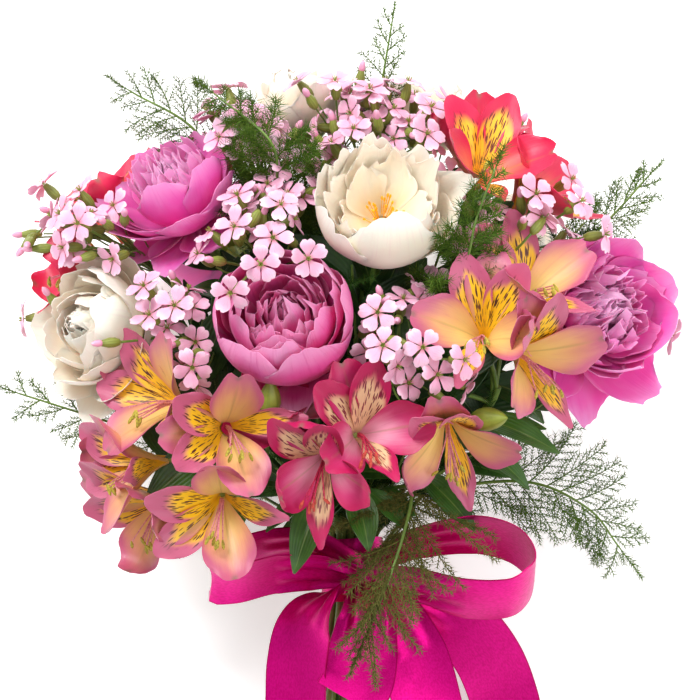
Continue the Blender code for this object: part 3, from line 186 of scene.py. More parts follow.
def cad_points(node):
    """The corners of a CAD node in the bouquet's frame."""
    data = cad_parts[node].data
    found = np.empty(len(data.vertices) * 3)
    data.vertices.foreach_get("co", found)
    return moved(found.reshape(-1, 3), TO_BOUQUET)


def cad_tree(node):
    faces = [tuple(face.vertices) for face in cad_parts[node].data.polygons]
    return BVHTree.FromPolygons([Vector(p) for p in cad_points(node)], faces)


PLANE_STEP = 4.0
FIRST_PLANE = 0.01  # just above the tie, where no corner lies in the plane
AXIS_REACH = 17.0  # the stems pass the tie nearer to the bouquet's axis than this


def centreline(node, radius, top):
    """The middle line of a CAD stem from its cut end to the height top, from slices across the bouquet."""
    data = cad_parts[node].data
    ends = np.empty(len(data.edges) * 2, int)
    data.edges.foreach_get("vertices", ends)
    points = cad_points(node)
    one, other = points[ends[0::2]], points[ends[1::2]]

    def slice_at(y, near, reach):
        cut = (one[:, 1] - y) * (other[:, 1] - y) < 0
        a, b = one[cut], other[cut]
        t = (y - a[:, 1]) / (b[:, 1] - a[:, 1])
        met = (a + (b - a) * t[:, None])[:, [0, 2]]
        met = met[np.linalg.norm(met - near, axis=1) < reach]
        return (met.min(0) + met.max(0)) / 2 if len(met) > 2 else None

    spot = slice_at(FIRST_PLANE, np.zeros(2), AXIS_REACH)
    halves = []
    for step, last in ((-PLANE_STEP, points[:, 1].min() + 0.5), (PLANE_STEP, top)):
        line, y, way, here = [], FIRST_PLANE, np.zeros(2), spot
        while (last - (y + step)) * step > 0:
            y += step
            found = slice_at(y, here + way, radius * 2.3 + 1.0)
            if found is None:
                found = here + way
            way, here = 0.5 * way + 0.5 * (found - here), found
            line.append((here[0], y, here[1]))
        halves.append(line)
    below, above = halves
    return np.array(below[::-1] + [(spot[0], FIRST_PLANE, spot[1])] + above)


# Lines


def smooth_curve(points, steps):
    """Points on a smooth curve through the given ones."""
    points = [np.asarray(p, float) for p in points]
    padded = [points[0] * 2 - points[1]] + points + [points[-1] * 2 - points[-2]]
    found = []
    for i in range(len(points) - 1):
        p0, p1, p2, p3 = padded[i : i + 4]
        for k in range(steps):
            t = k / steps
            a = p1 * 2 + (p2 - p0) * t
            b = (p0 * 2 - p1 * 5 + p2 * 4 - p3) * t**2 + (p1 * 3 - p0 - p2 * 3 + p3) * t**3
            found.append((a + b) / 2)
    return np.array(found + [points[-1]])


def distances(points):
    """How far along the line each of its points is."""
    return np.concatenate([[0], np.cumsum(np.linalg.norm(np.diff(points, axis=0), axis=1))])


def even(points, step):
    """The line with a point every step."""
    gone = distances(points)
    at = np.linspace(0, gone[-1], max(2, round(gone[-1] / step) + 1))
    return np.stack([np.interp(at, gone, points[:, k]) for k in range(3)], 1)


def curve_between(start, start_way, end, end_way, steps, handle=0.36):
    """Points of a smooth curve that leaves start along start_way and comes to end along end_way."""
    start, end = np.asarray(start, float), np.asarray(end, float)
    reach = np.linalg.norm(end - start) * handle
    p1, p2 = start + unit(start_way) * reach, end - unit(end_way) * reach
    t = np.linspace(0, 1, steps + 1)[:, None]
    s = 1 - t
    return start * s**3 + p1 * (3 * s * s * t) + p2 * (3 * s * t * t) + end * t**3


def way_at(line, k, reach=2):
    """The way that the line runs at its point k, from the points this far before and after it."""
    return unit(line[min(k + reach, len(line) - 1)] - line[max(k - reach, 0)])


def upright(heights):
    return np.outer(heights, (0.0, 0.0, 1.0))


def any_way(rng, *ranges):
    """A vector with each part drawn from its own range."""
    return np.array([rng.uniform(low, high) for low, high in ranges])


# Shapes


class Shape:
    """Faces to be one piece. Each corner knows its spot on its petal (across from -1 to 1, along from 0 to 1,
    a number of the petal's own) and its tone (layer from 0 outside to 1 inside, shade, a spare one)."""

    def __init__(self):
        self.points, self.spots, self.tones, self.faces, self.paints = [], [], [], [], []
        self.count = 0

    def add(self, points, faces, spots, tone, paint):
        self.points.append(points)
        self.spots.append(np.broadcast_to(spots, points.shape))
        self.tones.append(np.broadcast_to(tone, points.shape))
        for group in faces:
            self.faces += (np.asarray(group) + self.count).tolist()
            self.paints += [paint] * len(group)
        self.count += len(points)


PLAIN = (0, 0, 0)  # the tone of what has no layer or shade
SHARP = math.radians(50)  # faces that meet at more than this keep their edge
PRESSED = (-4.0, 1.0)  # petals between these heights, in mm, are pressed into the last one above the floor


def settled(points):
    """World points with what would reach under the floor pressed up against it."""
    lowest, highest = PRESSED
    z = points[:, 2] / MM
    pressed = np.maximum(0, z - lowest) * highest / (highest - lowest)
    points[:, 2] = np.where(z < highest, pressed, z) * MM
    return points


def add_object(name, data):
    made = bpy.data.objects.new(name, data)
    bpy.context.scene.collection.objects.link(made)
    return made


def piece(name, shape, paints, replaced=()):
    """Makes the shape an object in the part's frame that rides with the part."""
    mesh = bpy.data.meshes.new(name)
    points = settled(moved(np.concatenate(shape.points), TO_WORLD))
    mesh.from_pydata(points.tolist(), [], shape.faces)
    for label, values in (("spot", shape.spots), ("tone", shape.tones)):
        held = mesh.attributes.new(label, "FLOAT_VECTOR", "POINT")
        held.data.foreach_set("vector", np.concatenate(values).astype(np.float32).ravel())
    for paint in paints:
        mesh.materials.append(PAINTS[paint])
    mesh.polygons.foreach_set("material_index", shape.paints)
    mesh.shade_smooth()
    mesh.set_sharp_from_angle(angle=SHARP)
    made = add_object(name, mesh)
    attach(made, "root")
    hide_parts(*replaced)
    return made


def grid_axes(rows, columns):
    """How far along and how far across each row and column of a petal's grid is."""
    return np.linspace(0, 1, rows)[:, None], np.linspace(-1, 1, columns)[None, :]


def grid_of(x, y, z):
    """The points with these x, y and z, where each may be a number, a row, a column or a grid."""
    return np.stack(np.broadcast_arrays(x, y, z), -1)


def grid_spots(rows, columns, own):
    """Each grid point's place across and along the petal, with the petal's own number."""
    v, u = grid_axes(rows, columns)
    return grid_of(u, v, own)


def shell(shape, grid, thickness, spots, tone=PLAIN, paint=0, place=None):
    """A thin closed sheet round the grid of points, with a layer on each side and a rim."""
    if place is not None:
        grid = moved(grid, place)
    rows, columns, _ = grid.shape
    normal = unit(np.cross(np.gradient(grid, axis=1), np.gradient(grid, axis=0)))
    half = normal * (np.broadcast_to(thickness, (rows, columns))[..., None] / 2)
    size = rows * columns
    index = np.arange(size).reshape(rows, columns)
    upper = np.stack([index[:-1, :-1], index[:-1, 1:], index[1:, 1:], index[1:, :-1]], -1).reshape(-1, 4)
    ring = np.concatenate([index[0, :-1], index[:-1, -1], index[-1, :0:-1], index[:0:-1, 0]])
    after = np.roll(ring, -1)
    rim = np.stack([ring, ring + size, after + size, after], -1)
    points = np.concatenate([(grid + half).reshape(-1, 3), (grid - half).reshape(-1, 3)])
    both = np.concatenate([spots.reshape(-1, 3)] * 2)
    shape.add(points, [upper, upper[:, ::-1] + size, rim], both, tone, paint)


def rod(shape, points, radii, sides, tone=PLAIN, paint=0, own=0.0, place=None):
    """A closed round rod along the points."""
    points = np.asarray(points, float)
    if place is not None:
        points = moved(points, place)
    radii = np.broadcast_to(radii, len(points))
    along = unit(np.gradient(points, axis=0))
    x = unit(np.cross(along[0], (0.3, 0.5, 0.81)))
    turn = np.linspace(0, math.tau, sides, endpoint=False)[:, None]
    rings = []
    for point, way, radius in zip(points, along, radii):
        x = unit(x - way * (x @ way))
        rings.append(point + (x * np.cos(turn) + np.cross(way, x) * np.sin(turn)) * radius)
    index = np.arange(len(points) * sides).reshape(-1, sides)
    after = np.roll(index, -1, axis=1)
    wall = np.stack([index[:-1], after[:-1], after[1:], index[1:]], -1).reshape(-1, 4)
    spots = grid_spots(len(points), sides, own).reshape(-1, 3)
    shape.add(np.concatenate(rings), [wall, index[:1, ::-1], index[-1:]], spots, tone, paint)


def stem(shape, line, width, sides, paint=0):
    rod(shape, even(line, STEM_STEP), width / 2, sides, paint=paint)


def spikes(shape, roots, tips, radius, tone):
    """Many needles at once, each a slender three-sided spike."""
    roots, tips = np.asarray(roots, float), np.asarray(tips, float)
    way = unit(tips - roots)
    x = unit(np.cross(way, (0.23, 0.61, 0.76)))
    y = np.cross(way, x)
    base = [roots + (x * math.cos(turn) + y * math.sin(turn)) * radius
            for turn in (0, math.tau / 3, math.tau * 2 / 3)]
    points = np.stack([*base, tips], 1).reshape(-1, 3)
    first = np.arange(len(roots))[:, None] * 4
    faces = np.concatenate([first + corner for corner in ((0, 2, 1), (0, 1, 3), (1, 2, 3), (2, 0, 3))])
    spots = np.zeros((len(points), 3))
    spots[3::4, 1] = 1.0
    spots[:, 2] = np.repeat(np.arange(len(roots)) * 0.37 % 1, 4)
    shape.add(points, [faces], spots, tone, 0)


# Paints. Colours are given as they show on a screen, 0 to 255.


def srgb(red, green, blue):
    """A colour of the screen in linear light, as a shader takes it."""
    return tuple((c / 12.92 if c <= 0.04045 else ((c + 0.055) / 1.055) ** 2.4)
                 for c in (red / 255, green / 255, blue / 255)) + (1.0,)


class Value:
    """What a material's node gives, with arithmetic."""

    def __init__(self, tree, socket):
        self.tree, self.socket = tree, socket

    def __add__(self, other):
        return self.tree.math("ADD", self, other)

    def __sub__(self, other):
        return self.tree.math("SUBTRACT", self, other)

    def __mul__(self, other):
        return self.tree.math("MULTIPLY", self, other)

    def __abs__(self):
        return self.tree.math("ABSOLUTE", self)


class Tree:
    """A material's nodes, made one by one."""

    def __init__(self, name):
        self.material = bpy.data.materials.new(name)
        self.material.use_nodes = True
        self.nodes = self.material.node_tree.nodes
        self.shader = self.nodes["Principled BSDF"]

    def link(self, source, target):
        if isinstance(source, Value):
            self.material.node_tree.links.new(source.socket, target)
        elif target.type == "RGBA" and len(source) == 3:
            target.default_value = srgb(*source)
        else:
            target.default_value = source

    def node(self, kind, inputs, output=0, **settings):
        """Makes a node with these inputs and settings, and gives one of its outputs."""
        made = self.nodes.new("ShaderNode" + kind)
        for name, value in settings.items():
            setattr(made, name, value)
        for key, value in inputs.items():
            self.link(value, made.inputs[key])
        return Value(self, made.outputs[output])

    def math(self, kind, *values):
        return self.node("Math", dict(enumerate(values)), operation=kind)

    def attribute(self, name):
        parts = self.nodes.new("ShaderNodeSeparateXYZ")
        self.link(self.node("Attribute", {}, "Vector", attribute_name=name), parts.inputs[0])
        return [Value(self, part) for part in parts.outputs]

    def vector(self, *parts):
        return self.node("CombineXYZ", dict(enumerate(parts)))

    def place(self):
        return self.node("TexCoord", {}, "Object")

    def noise(self, vector, scale, detail=2.0, roughness=0.5):
        inputs = {"Vector": vector, "Scale": scale, "Detail": detail, "Roughness": roughness}
        return self.node("TexNoise", inputs)

    def between(self, value, low, high):
        """0 where the value is low or less, 1 where it is high or more, and smooth between. The other way
        round where high is the lower one."""
        first, last = (0.0, 1.0) if low < high else (1.0, 0.0)
        inputs = {"Value": value, "From Min": min(low, high), "From Max": max(low, high),
                  "To Min": first, "To Max": last}
        return self.node("MapRange", inputs, interpolation_type="SMOOTHSTEP")

    def mix(self, share, a, b):
        return self.node("Mix", {0: share, 6: a, 7: b}, 2, data_type="RGBA")

    def over(self, colour, other, value, low, high, share=1.0):
        """The colour with the other one over it, by up to share as the value goes from low to high."""
        return self.mix(self.between(value, low, high) * share, colour, other)

    def finish(self, colour, roughness, bump=None, **values):
        """Fills in the shader. The bump is its height, strength and distance."""
        values.update(Base_Color=colour, Roughness=roughness)
        if bump is not None:
            values["Normal"] = self.node("Bump", dict(zip(("Height", "Strength", "Distance"), bump)))
        for name, value in values.items():
            self.link(value, self.shader.inputs[name.replace("_", " ")])
        return self.material


def petal_soft(strength, radius):
    """How a thin petal passes light on."""
    return {"Subsurface_Weight": strength, "Subsurface_Radius": radius, "Subsurface_Scale": 0.002}


# Heart, body, rim and deep colour, then how strongly the rim's colour shows along the rim and in inner
# petals.
# In inner petals it is partly their own paler colour and partly painted light that lifts the shade deep in
# the bloom.
PEONY_COLOURS = {
    "pink_petals": ((222, 52, 154), (240, 90, 182), (255, 192, 232), (226, 68, 164), 0.46, 0.98),
    "deep_pink_petals": ((184, 0, 96), (231, 74, 156), (252, 178, 216), (208, 26, 120), 0.66, 0.26),
    "white_petals": ((254, 224, 176), (252, 237, 214), (252, 246, 236), (247, 216, 206), 0.7, 0.0),
}


def peony_paint(name, heart, body, rim, deep, rim_share, inner_pale_and_lift_share):
    """Petals that are darkest at the heart of the bloom and pale along their rims, with fine veins. Inner
    petals take on the rim's colour, partly their own paler colour and partly painted light that lifts the
    shade deep in the bloom.
    """
    t = Tree(name)
    across, along, own = t.attribute("spot")
    layer, shade, _ = t.attribute("tone")
    veins = t.noise(t.vector(across * 7.0, along * 1.1, own * 9.0), 2.4, 4.0, 0.62)
    mottle = t.noise(t.vector(across, along, own * 5.0), 1.6)
    colour = t.over(heart, body, along, 0.05, 0.62)
    # inner petals shift towards the rim's colour: partly their own paler colour, partly painted light over
    # the shade deep in the bloom
    colour = t.mix(layer * inner_pale_and_lift_share, colour, rim)
    edge = t.between(along + mottle * 0.14, 0.80, 1.10) * rim_share
    side = t.between(abs(across), 0.72, 1.0) * (rim_share * 0.6)
    colour = t.mix(t.math("MAXIMUM", edge, side), colour, rim)
    colour = t.over(colour, deep, veins, 0.50, 0.72, 0.34)
    colour = t.over(colour, rim, mottle, 0.45, 0.75, 0.22)
    colour = t.mix(shade * 0.5, colour, deep)
    return t.finish(colour, 0.46, (veins, 0.30, 0.0006), Sheen_Weight=0.06, Sheen_Roughness=0.4,
                    **petal_soft(0.42, (1.0, 0.55, 0.55)))


# Edge, middle and base of an outer tepal, then throat and marks of an inner one
LILY_COLOURS = {
    "gold": ((190, 88, 122), (229, 166, 116), (240, 206, 122), (250, 196, 8), (74, 26, 14)),
    "crimson": ((182, 10, 82), (206, 62, 122), (240, 166, 190), (232, 196, 150), (110, 10, 44)),
    "coral": ((212, 26, 76), (228, 52, 90), (244, 136, 110), (252, 196, 40), (96, 20, 22)),
}
TEPAL_RIB = (150, 140, 60)
TEPAL_SPECK = (120, 104, 84)
# Cells across and along a tepal, with a number to tell them apart, for each of the two layers of dashes
DASHES = ((8.6, 5.4, 11.0), (10.2, 6.2, 23.0))


def lily_paint(kind):
    """Tepals: the outer ones blush from a pale base to a rosy edge, with a green speck at the notch. The
    inner ones have a bright throat with dark dashes that fan out from it."""
    edge, middle, base, throat, marks = LILY_COLOURS[kind]
    t = Tree("lily_" + kind)
    across, along, own = t.attribute("spot")
    inner, shade, _ = t.attribute("tone")
    wide = abs(across)
    grain = t.noise(t.vector(across * 6.0, along, own * 7.0), 2.6, 4.0, 0.6)
    mottle = t.noise(t.vector(across, along, own * 3.0), 1.8)
    outward = along + (mottle - 0.5) * 0.34 + t.math("POWER", wide, 2.0) * 0.34
    outer = t.over(base, middle, outward, 0.30, 0.78)
    outer = t.over(outer, edge, outward, 0.62, 1.04)
    rib = t.between(wide, 0.09, 0.0) * t.between(along, 1.0, 0.55)
    outer = t.mix(rib * 0.35, outer, TEPAL_RIB)
    tip = t.between(along, 0.90, 0.98) * t.between(wide, 0.22, 0.02)
    outer = t.mix(tip * 0.7, outer, TEPAL_SPECK)
    dashed = 0.0
    for cells_across, cells_along, apart in DASHES:
        spot = t.vector(across * cells_across, along * cells_along, own * apart)
        cells = t.node("TexVoronoi", {"Vector": spot, "Scale": 1.0}, "Distance")
        dashed = t.math("MAXIMUM", dashed, t.between(cells, 0.35, 0.25))
    dashed = dashed * t.between(along, 0.14, 0.24) * t.between(outward, 0.90, 0.80)
    inside = t.mix(dashed, t.over(edge, throat, outward, 0.86, 0.68), marks)
    colour = t.over(t.mix(inner, outer, inside), edge, grain, 0.50, 0.74, 0.22)
    colour = t.mix(shade * 0.4, colour, edge)
    return t.finish(colour, 0.42, (grain, 0.35, 0.0005), Sheen_Weight=0.05,
                    **petal_soft(0.10, (1.0, 0.55, 0.45)))


def floret_paint():
    t = Tree("soapwort_petal")
    across, along, own = t.attribute("spot")
    veins = t.noise(t.vector(across * 5.0, along, own * 7.0), 2.2, 3.0)
    colour = t.over((204, 124, 140), (238, 174, 202), along, 0.0, 0.30)
    colour = t.over(colour, (249, 206, 225), along, 0.5, 1.0)
    colour = t.over(colour, (218, 140, 170), veins, 0.52, 0.72, 0.45)
    colour = t.mix(t.attribute("tone")[1] * 0.5, colour, (226, 140, 174))
    return t.finish(colour, 0.5, (veins, 0.2, 0.0003), **petal_soft(0.12, (1.0, 0.5, 0.6)))


# Material, light colour, dark colour, roughness, and the gloss where it isn't the usual one
SPECKLED = {
    "shade_needle": ("shade_fern_needle", (58, 96, 26), (26, 58, 12), 0.7, 0.2),
    "needle": ("fern_needle", (98, 126, 38), (52, 86, 22), 0.7, 0.2),
    "trailing_needle": ("trailing_fern_needle", (112, 108, 50), (70, 76, 30), 0.7, 0.2),
    "anther": ("anther", (190, 176, 60), (140, 120, 40), 0.7),
    "filament": ("filament", (226, 150, 160), (196, 110, 130), 0.5),
    "red_filament": ("red_filament", (196, 40, 80), (150, 24, 60), 0.5),
    "red_anther": ("red_anther", (200, 76, 60), (160, 50, 40), 0.7),
    "stamen": ("peony_stamen", (252, 200, 20), (236, 160, 10), 0.7),
}


def speckled_paint(name, light, dark, roughness, gloss=0.5):
    """One colour that varies a little from place to place."""
    t = Tree(name)
    specks = t.noise(t.place(), 900.0, 3.0)
    colour = t.over(light, dark, specks, 0.35, 0.70)
    colour = t.mix(t.attribute("tone")[1] * 0.7, colour, dark)
    return t.finish(colour, roughness, (specks, 0.15, 0.0003), Specular_IOR_Level=gloss)


# Material, light colour, dark colour, ribs across, roughness, and the sheen where there is one
RIBBED = {
    "calyx": ("soapwort_calyx", (140, 152, 62), (96, 96, 40), 10, 0.5),
    "stalk": ("stalk_green", (112, 142, 58), (70, 100, 36), 4, 0.45),
    "leaf": ("leaf_green", (58, 104, 24), (26, 64, 12), 9, 0.36, 0.05),
    "shade_leaf": ("shade_leaf_green", (40, 80, 26), (18, 48, 12), 9, 0.42),
    "bud": ("bud_green", (150, 164, 62), (96, 118, 40), 6, 0.45),
}
MIDRIB = (150, 170, 90)


def ribbed_paint(name, light, dark, ribs, roughness, sheen=0.0):
    """Green with ribs or veins that run along the leaf, calyx or stem."""
    t = Tree(name)
    across, along, own = t.attribute("spot")
    wobble = t.noise(t.vector(across, along, own), 3.0)
    wave = t.math("SINE", (across + wobble * 0.05) * (ribs * math.pi))
    mottle = t.noise(t.place(), 160.0, 3.0)
    colour = t.over(light, dark, wave, 0.1, 0.9, 0.35)
    colour = t.over(colour, dark, mottle, 0.4, 0.7, 0.45)
    colour = t.over(colour, MIDRIB, abs(across), 0.07, 0.0, 0.4)
    colour = t.mix(t.attribute("tone")[1] * 0.6, colour, dark)
    return t.finish(colour, roughness, (wave, 0.18, 0.0004), Sheen_Weight=sheen)


def satin_paint():
    """Satin ribbon: a fine weave that catches the light in soft bright bands, with painted shade that darkens
    it near the knot.
    """
    t = Tree("satin")
    across, along, own = t.attribute("spot")
    threads = t.noise(t.vector(across * 90.0, along * 300.0, own), 1.0, 3.0)
    grain = t.noise(t.vector(across * 24.0, along * 90.0, own), 1.0, 3.0)
    colour = t.over((216, 8, 132), (196, 0, 110), grain, 0.30, 0.75)
    # painted shade: each strip is darker towards the end where it leaves the knot, where the knot and the
    # fern shade it
    colour = t.over(colour, (168, 0, 70), along, 0.34, 0.06, 0.60)
    colour = t.over(colour, (176, 0, 92), abs(across), 0.955, 0.985)
    return t.finish(colour, grain * 0.12 + 0.32, (threads, 0.18, 0.0002), Metallic=0.66, Anisotropic=0.4,
                    Specular_IOR_Level=0.15)


PAINTS = {
    **{name: peony_paint(name, *row) for name, row in PEONY_COLOURS.items()},
    **{kind: lily_paint(kind) for kind in LILY_COLOURS},
    **{name: speckled_paint(*row) for name, row in SPECKLED.items()},
    **{name: ribbed_paint(*row) for name, row in RIBBED.items()},
    "floret": floret_paint(),
    "satin": satin_paint(),
}
SPRAY_PAINTS = ("floret", "calyx", "bud", "stalk")
STEM_PAINTS = ("stalk", "leaf", "bud", "shade_leaf")


# Peonies

# Petals round a bloom: number, turn of the first in degrees, where they start (out, up), length, width, the
# angle to the horizontal at the base and at the tip, curl of the tip, cup (how tightly a petal bends across,
# at its base and at its tip), ruffle, ragged. Lengths are shares of the bloom's radius.
Whorl = namedtuple("Whorl", "count first out up length width low high curl cup_low cup_high ruffle ragged")

WHORLS = {
    "open": (
        (6, 0, 0.08, 0.04, 1.30, 1.25, 0, 74, -8, 0.80, 0.85, 0.020, 0.02),
        (7, 20, 0.10, 0.12, 1.10, 0.85, 30, 98, 0, 0.55, 0.55, 0.040, 0.08),
        (10, 10, 0.22, 0.20, 0.92, 0.52, 46, 104, 0, 0.35, 0.38, 0.075, 0.13),
        (12, 0, 0.14, 0.26, 0.84, 0.46, 60, 108, -10, 0.26, 0.30, 0.095, 0.16),
        (10, 18, 0.05, 0.30, 0.76, 0.40, 74, 104, 10, 0.22, 0.26, 0.100, 0.16),
    ),
    "wide": (
        (6, 20, 0.08, 0.08, 1.16, 0.90, 10, 74, 0, 0.65, 0.70, 0.030, 0.05),
        (12, 10, 0.28, 0.16, 0.82, 0.48, 38, 104, 0, 0.30, 0.34, 0.085, 0.14),
        (15, 0, 0.20, 0.22, 0.78, 0.42, 52, 112, -15, 0.24, 0.28, 0.100, 0.17),
        (13, 18, 0.08, 0.28, 0.72, 0.38, 68, 106, 15, 0.20, 0.25, 0.105, 0.17),
    ),
    "cup": (
        (4, 0, 0.10, 0.05, 1.58, 1.50, 10, 116, 8, 0.76, 0.70, 0.012, 0.04),
        (6, 15, 0.10, 0.10, 1.40, 0.95, 18, 116, 0, 0.66, 0.62, 0.022, 0.10),
        (7, 40, 0.08, 0.14, 1.28, 0.80, 28, 116, 0, 0.54, 0.50, 0.030, 0.14),
        (7, 5, 0.06, 0.18, 1.14, 0.68, 40, 116, 0, 0.42, 0.40, 0.036, 0.16),
        (7, 30, 0.05, 0.20, 1.00, 0.54, 54, 112, 0, 0.30, 0.30, 0.042, 0.18),
        (6, 0, 0.02, 0.20, 0.86, 0.42, 66, 106, 0, 0.20, 0.20, 0.050, 0.18),
    ),
    "bowl": (
        (5, 30, 0.10, 0.06, 1.26, 1.05, 12, 92, -10, 0.66, 0.78, 0.030, 0.12),
        (5, 66, 0.10, 0.08, 1.04, 0.85, 18, 90, 0, 0.52, 0.62, 0.036, 0.14),
    ),
    "soft": (
        (6, 0, 0.08, 0.04, 1.34, 1.35, 0, 74, -6, 0.82, 0.86, 0.016, 0.03),
        (6, 25, 0.08, 0.08, 1.32, 1.20, 18, 106, 0, 0.70, 0.70, 0.022, 0.05),
        (6, 5, 0.10, 0.12, 1.26, 0.95, 30, 126, 0, 0.56, 0.54, 0.030, 0.07),
        (7, 20, 0.08, 0.18, 1.10, 0.80, 44, 138, 0, 0.44, 0.42, 0.040, 0.09),
        (7, 0, 0.06, 0.22, 0.98, 0.62, 54, 140, 0, 0.34, 0.34, 0.050, 0.12),
        (5, 30, 0.02, 0.24, 0.86, 0.50, 66, 130, 0, 0.26, 0.28, 0.060, 0.14),
        (6, 10, 0.10, 0.26, 0.80, 0.40, 78, 108, 0, 0.26, 0.30, 0.050, 0.12),
    ),
}

# Big petals placed one by one outside the whorls: turn round the bloom in degrees from its right-hand side,
# then length, width, low, high, curl, cup and ragged as in a whorl
GUARDS = {
    "peony_pink_left": (
        (-62, 1.60, 1.35, 16, 104, 0, 0.62, 0.015), (-10, 1.55, 1.25, 16, 96, 0, 0.70, 0.02),
        (-118, 1.45, 1.15, 2, 64, -10, 0.80, 0.04), (-160, 1.50, 1.20, 4, 70, -14, 0.80, 0.05),
        (40, 1.35, 1.20, 8, 86, 0, 0.80, 0.03), (92, 1.30, 1.20, 6, 80, 0, 0.80, 0.03),
        (146, 1.35, 1.20, 6, 78, -8, 0.80, 0.03), (-88, 1.10, 0.95, -20, 14, -16, 0.90, 0.03),
        (-130, 1.15, 0.90, -18, 16, -20, 0.90, 0.03), (-40, 1.15, 0.95, -16, 24, -10, 0.90, 0.03),
    ),
    "peony_pink_right": (
        (118, 1.38, 1.30, 10, 84, -6, 0.75, 0.02), (66, 1.40, 1.20, 10, 88, 0, 0.75, 0.02),
        (18, 1.50, 1.30, 6, 96, 0, 0.70, 0.02), (-24, 1.62, 1.45, 4, 112, 0, 0.66, 0.015),
        (-62, 1.45, 1.20, -6, 56, -10, 0.80, 0.03), (-96, 1.35, 0.95, -14, 24, -14, 0.90, 0.03),
        (-128, 1.35, 0.95, -12, 34, -12, 0.90, 0.03), (-156, 1.40, 1.10, -4, 54, -10, 0.85, 0.03),
        (172, 1.30, 1.25, 4, 98, 0, 0.76, 0.02), (-84, 1.45, 1.20, 6, 96, 0, 0.70, 0.03),
        (-130, 1.28, 1.20, 6, 98, 0, 0.70, 0.03), (142, 1.20, 1.10, 6, 98, 0, 0.74, 0.03),
    ),
    "peony_pink_centre": (
        (-62, 1.98, 1.90, -8, 122, 4, 0.94, 0.02), (-118, 1.94, 1.90, -7, 124, 4, 0.92, 0.02),
        (4, 1.84, 1.70, -2, 116, 0, 0.92, 0.03), (174, 1.84, 1.70, -2, 118, 4, 0.92, 0.03),
        (-90, 1.92, 1.70, 0, 126, 4, 0.84, 0.05), (42, 1.70, 1.50, 4, 112, 2, 0.86, 0.04),
        (138, 1.70, 1.50, 4, 114, 2, 0.86, 0.04),
        (90, 1.56, 1.60, 8, 104, 0, 0.84, 0.02), (-84, 1.12, 1.15, -22, 36, -30, 0.90, 0.04),
        (-88, 1.66, 1.40, 10, 124, 6, 0.80, 0.02), (-28, 1.60, 1.30, 11, 122, 4, 0.80, 0.03),
        (-150, 1.60, 1.30, 11, 122, 4, 0.80, 0.03), (-66, 1.48, 1.10, 14, 126, 4, 0.74, 0.05),
        (-116, 1.46, 1.10, 15, 126, 4, 0.74, 0.05),
    ),
    "peony_white_centre": (
        (-84, 2.25, 2.00, -14, 154, 0, 0.92, 0.02), (12, 1.46, 1.25, 0, 66, -12, 0.80, 0.12),
        (96, 1.36, 1.40, 6, 88, -6, 0.80, 0.12), (168, 1.42, 1.35, 0, 86, -4, 0.80, 0.10),
        (-52, 1.56, 1.20, 8, 108, 0, 0.74, 0.12), (-116, 1.60, 1.25, 8, 110, 0, 0.74, 0.10),
        (-142, 1.84, 1.65, -10, 116, 0, 0.88, 0.05), (-26, 1.50, 1.40, -10, 88, 0, 0.85, 0.05),
        (54, 1.26, 1.15, 4, 76, -8, 0.80, 0.10), (134, 1.28, 1.10, 4, 82, -6, 0.80, 0.09),
    ),
    "peony_white_left": (
        (-4, 1.70, 1.60, 8, 126, 0, 0.74, 0.015), (58, 1.62, 1.45, 8, 112, 0, 0.78, 0.02),
        (-66, 1.36, 1.45, 4, 104, 0, 0.78, 0.02), (-30, 1.30, 1.30, -8, 46, -10, 0.90, 0.03),
        (-100, 1.35, 1.25, -10, 40, -12, 0.90, 0.03), (104, 1.30, 1.20, -2, 56, -8, 0.90, 0.03),
        (24, 1.30, 1.25, -6, 60, -8, 0.90, 0.03), (14, 1.62, 1.50, 12, 128, 0, 0.70, 0.03),
        (-34, 1.60, 1.45, 12, 126, 0, 0.72, 0.03), (110, 1.50, 1.40, 8, 108, 0, 0.78, 0.02),
        (-100, 1.50, 1.40, 6, 100, 0, 0.78, 0.02),
    ),
}
GUARD_START = (0.08, 0.03)
GUARD_RUFFLE = 0.018
PEONY_SEAT = 0.55  # share of a bloom's radius from its centre down to its seat
SEAT_SHIFT = 1.0  # the CAD solid's seat is used where it is farther than this from the usual one
PETAL_THICK = 0.45
PETAL_WIDEST = 0.62  # share of a petal's length at which it is widest
GUARD_GRID = (15, 15)  # rows and columns of a petal, as in the other grids
INNER_GRID = (10, 9)
STAMENS = 34


def waves(rng, u, rates):
    """A smooth uneven line across a petal, from about -1 to 1."""
    return sum(np.sin(u * rate * rng.uniform(0.8, 1.2) + rng.uniform(0, math.tau)) / (i + 1.2)
               for i, rate in enumerate(rates))


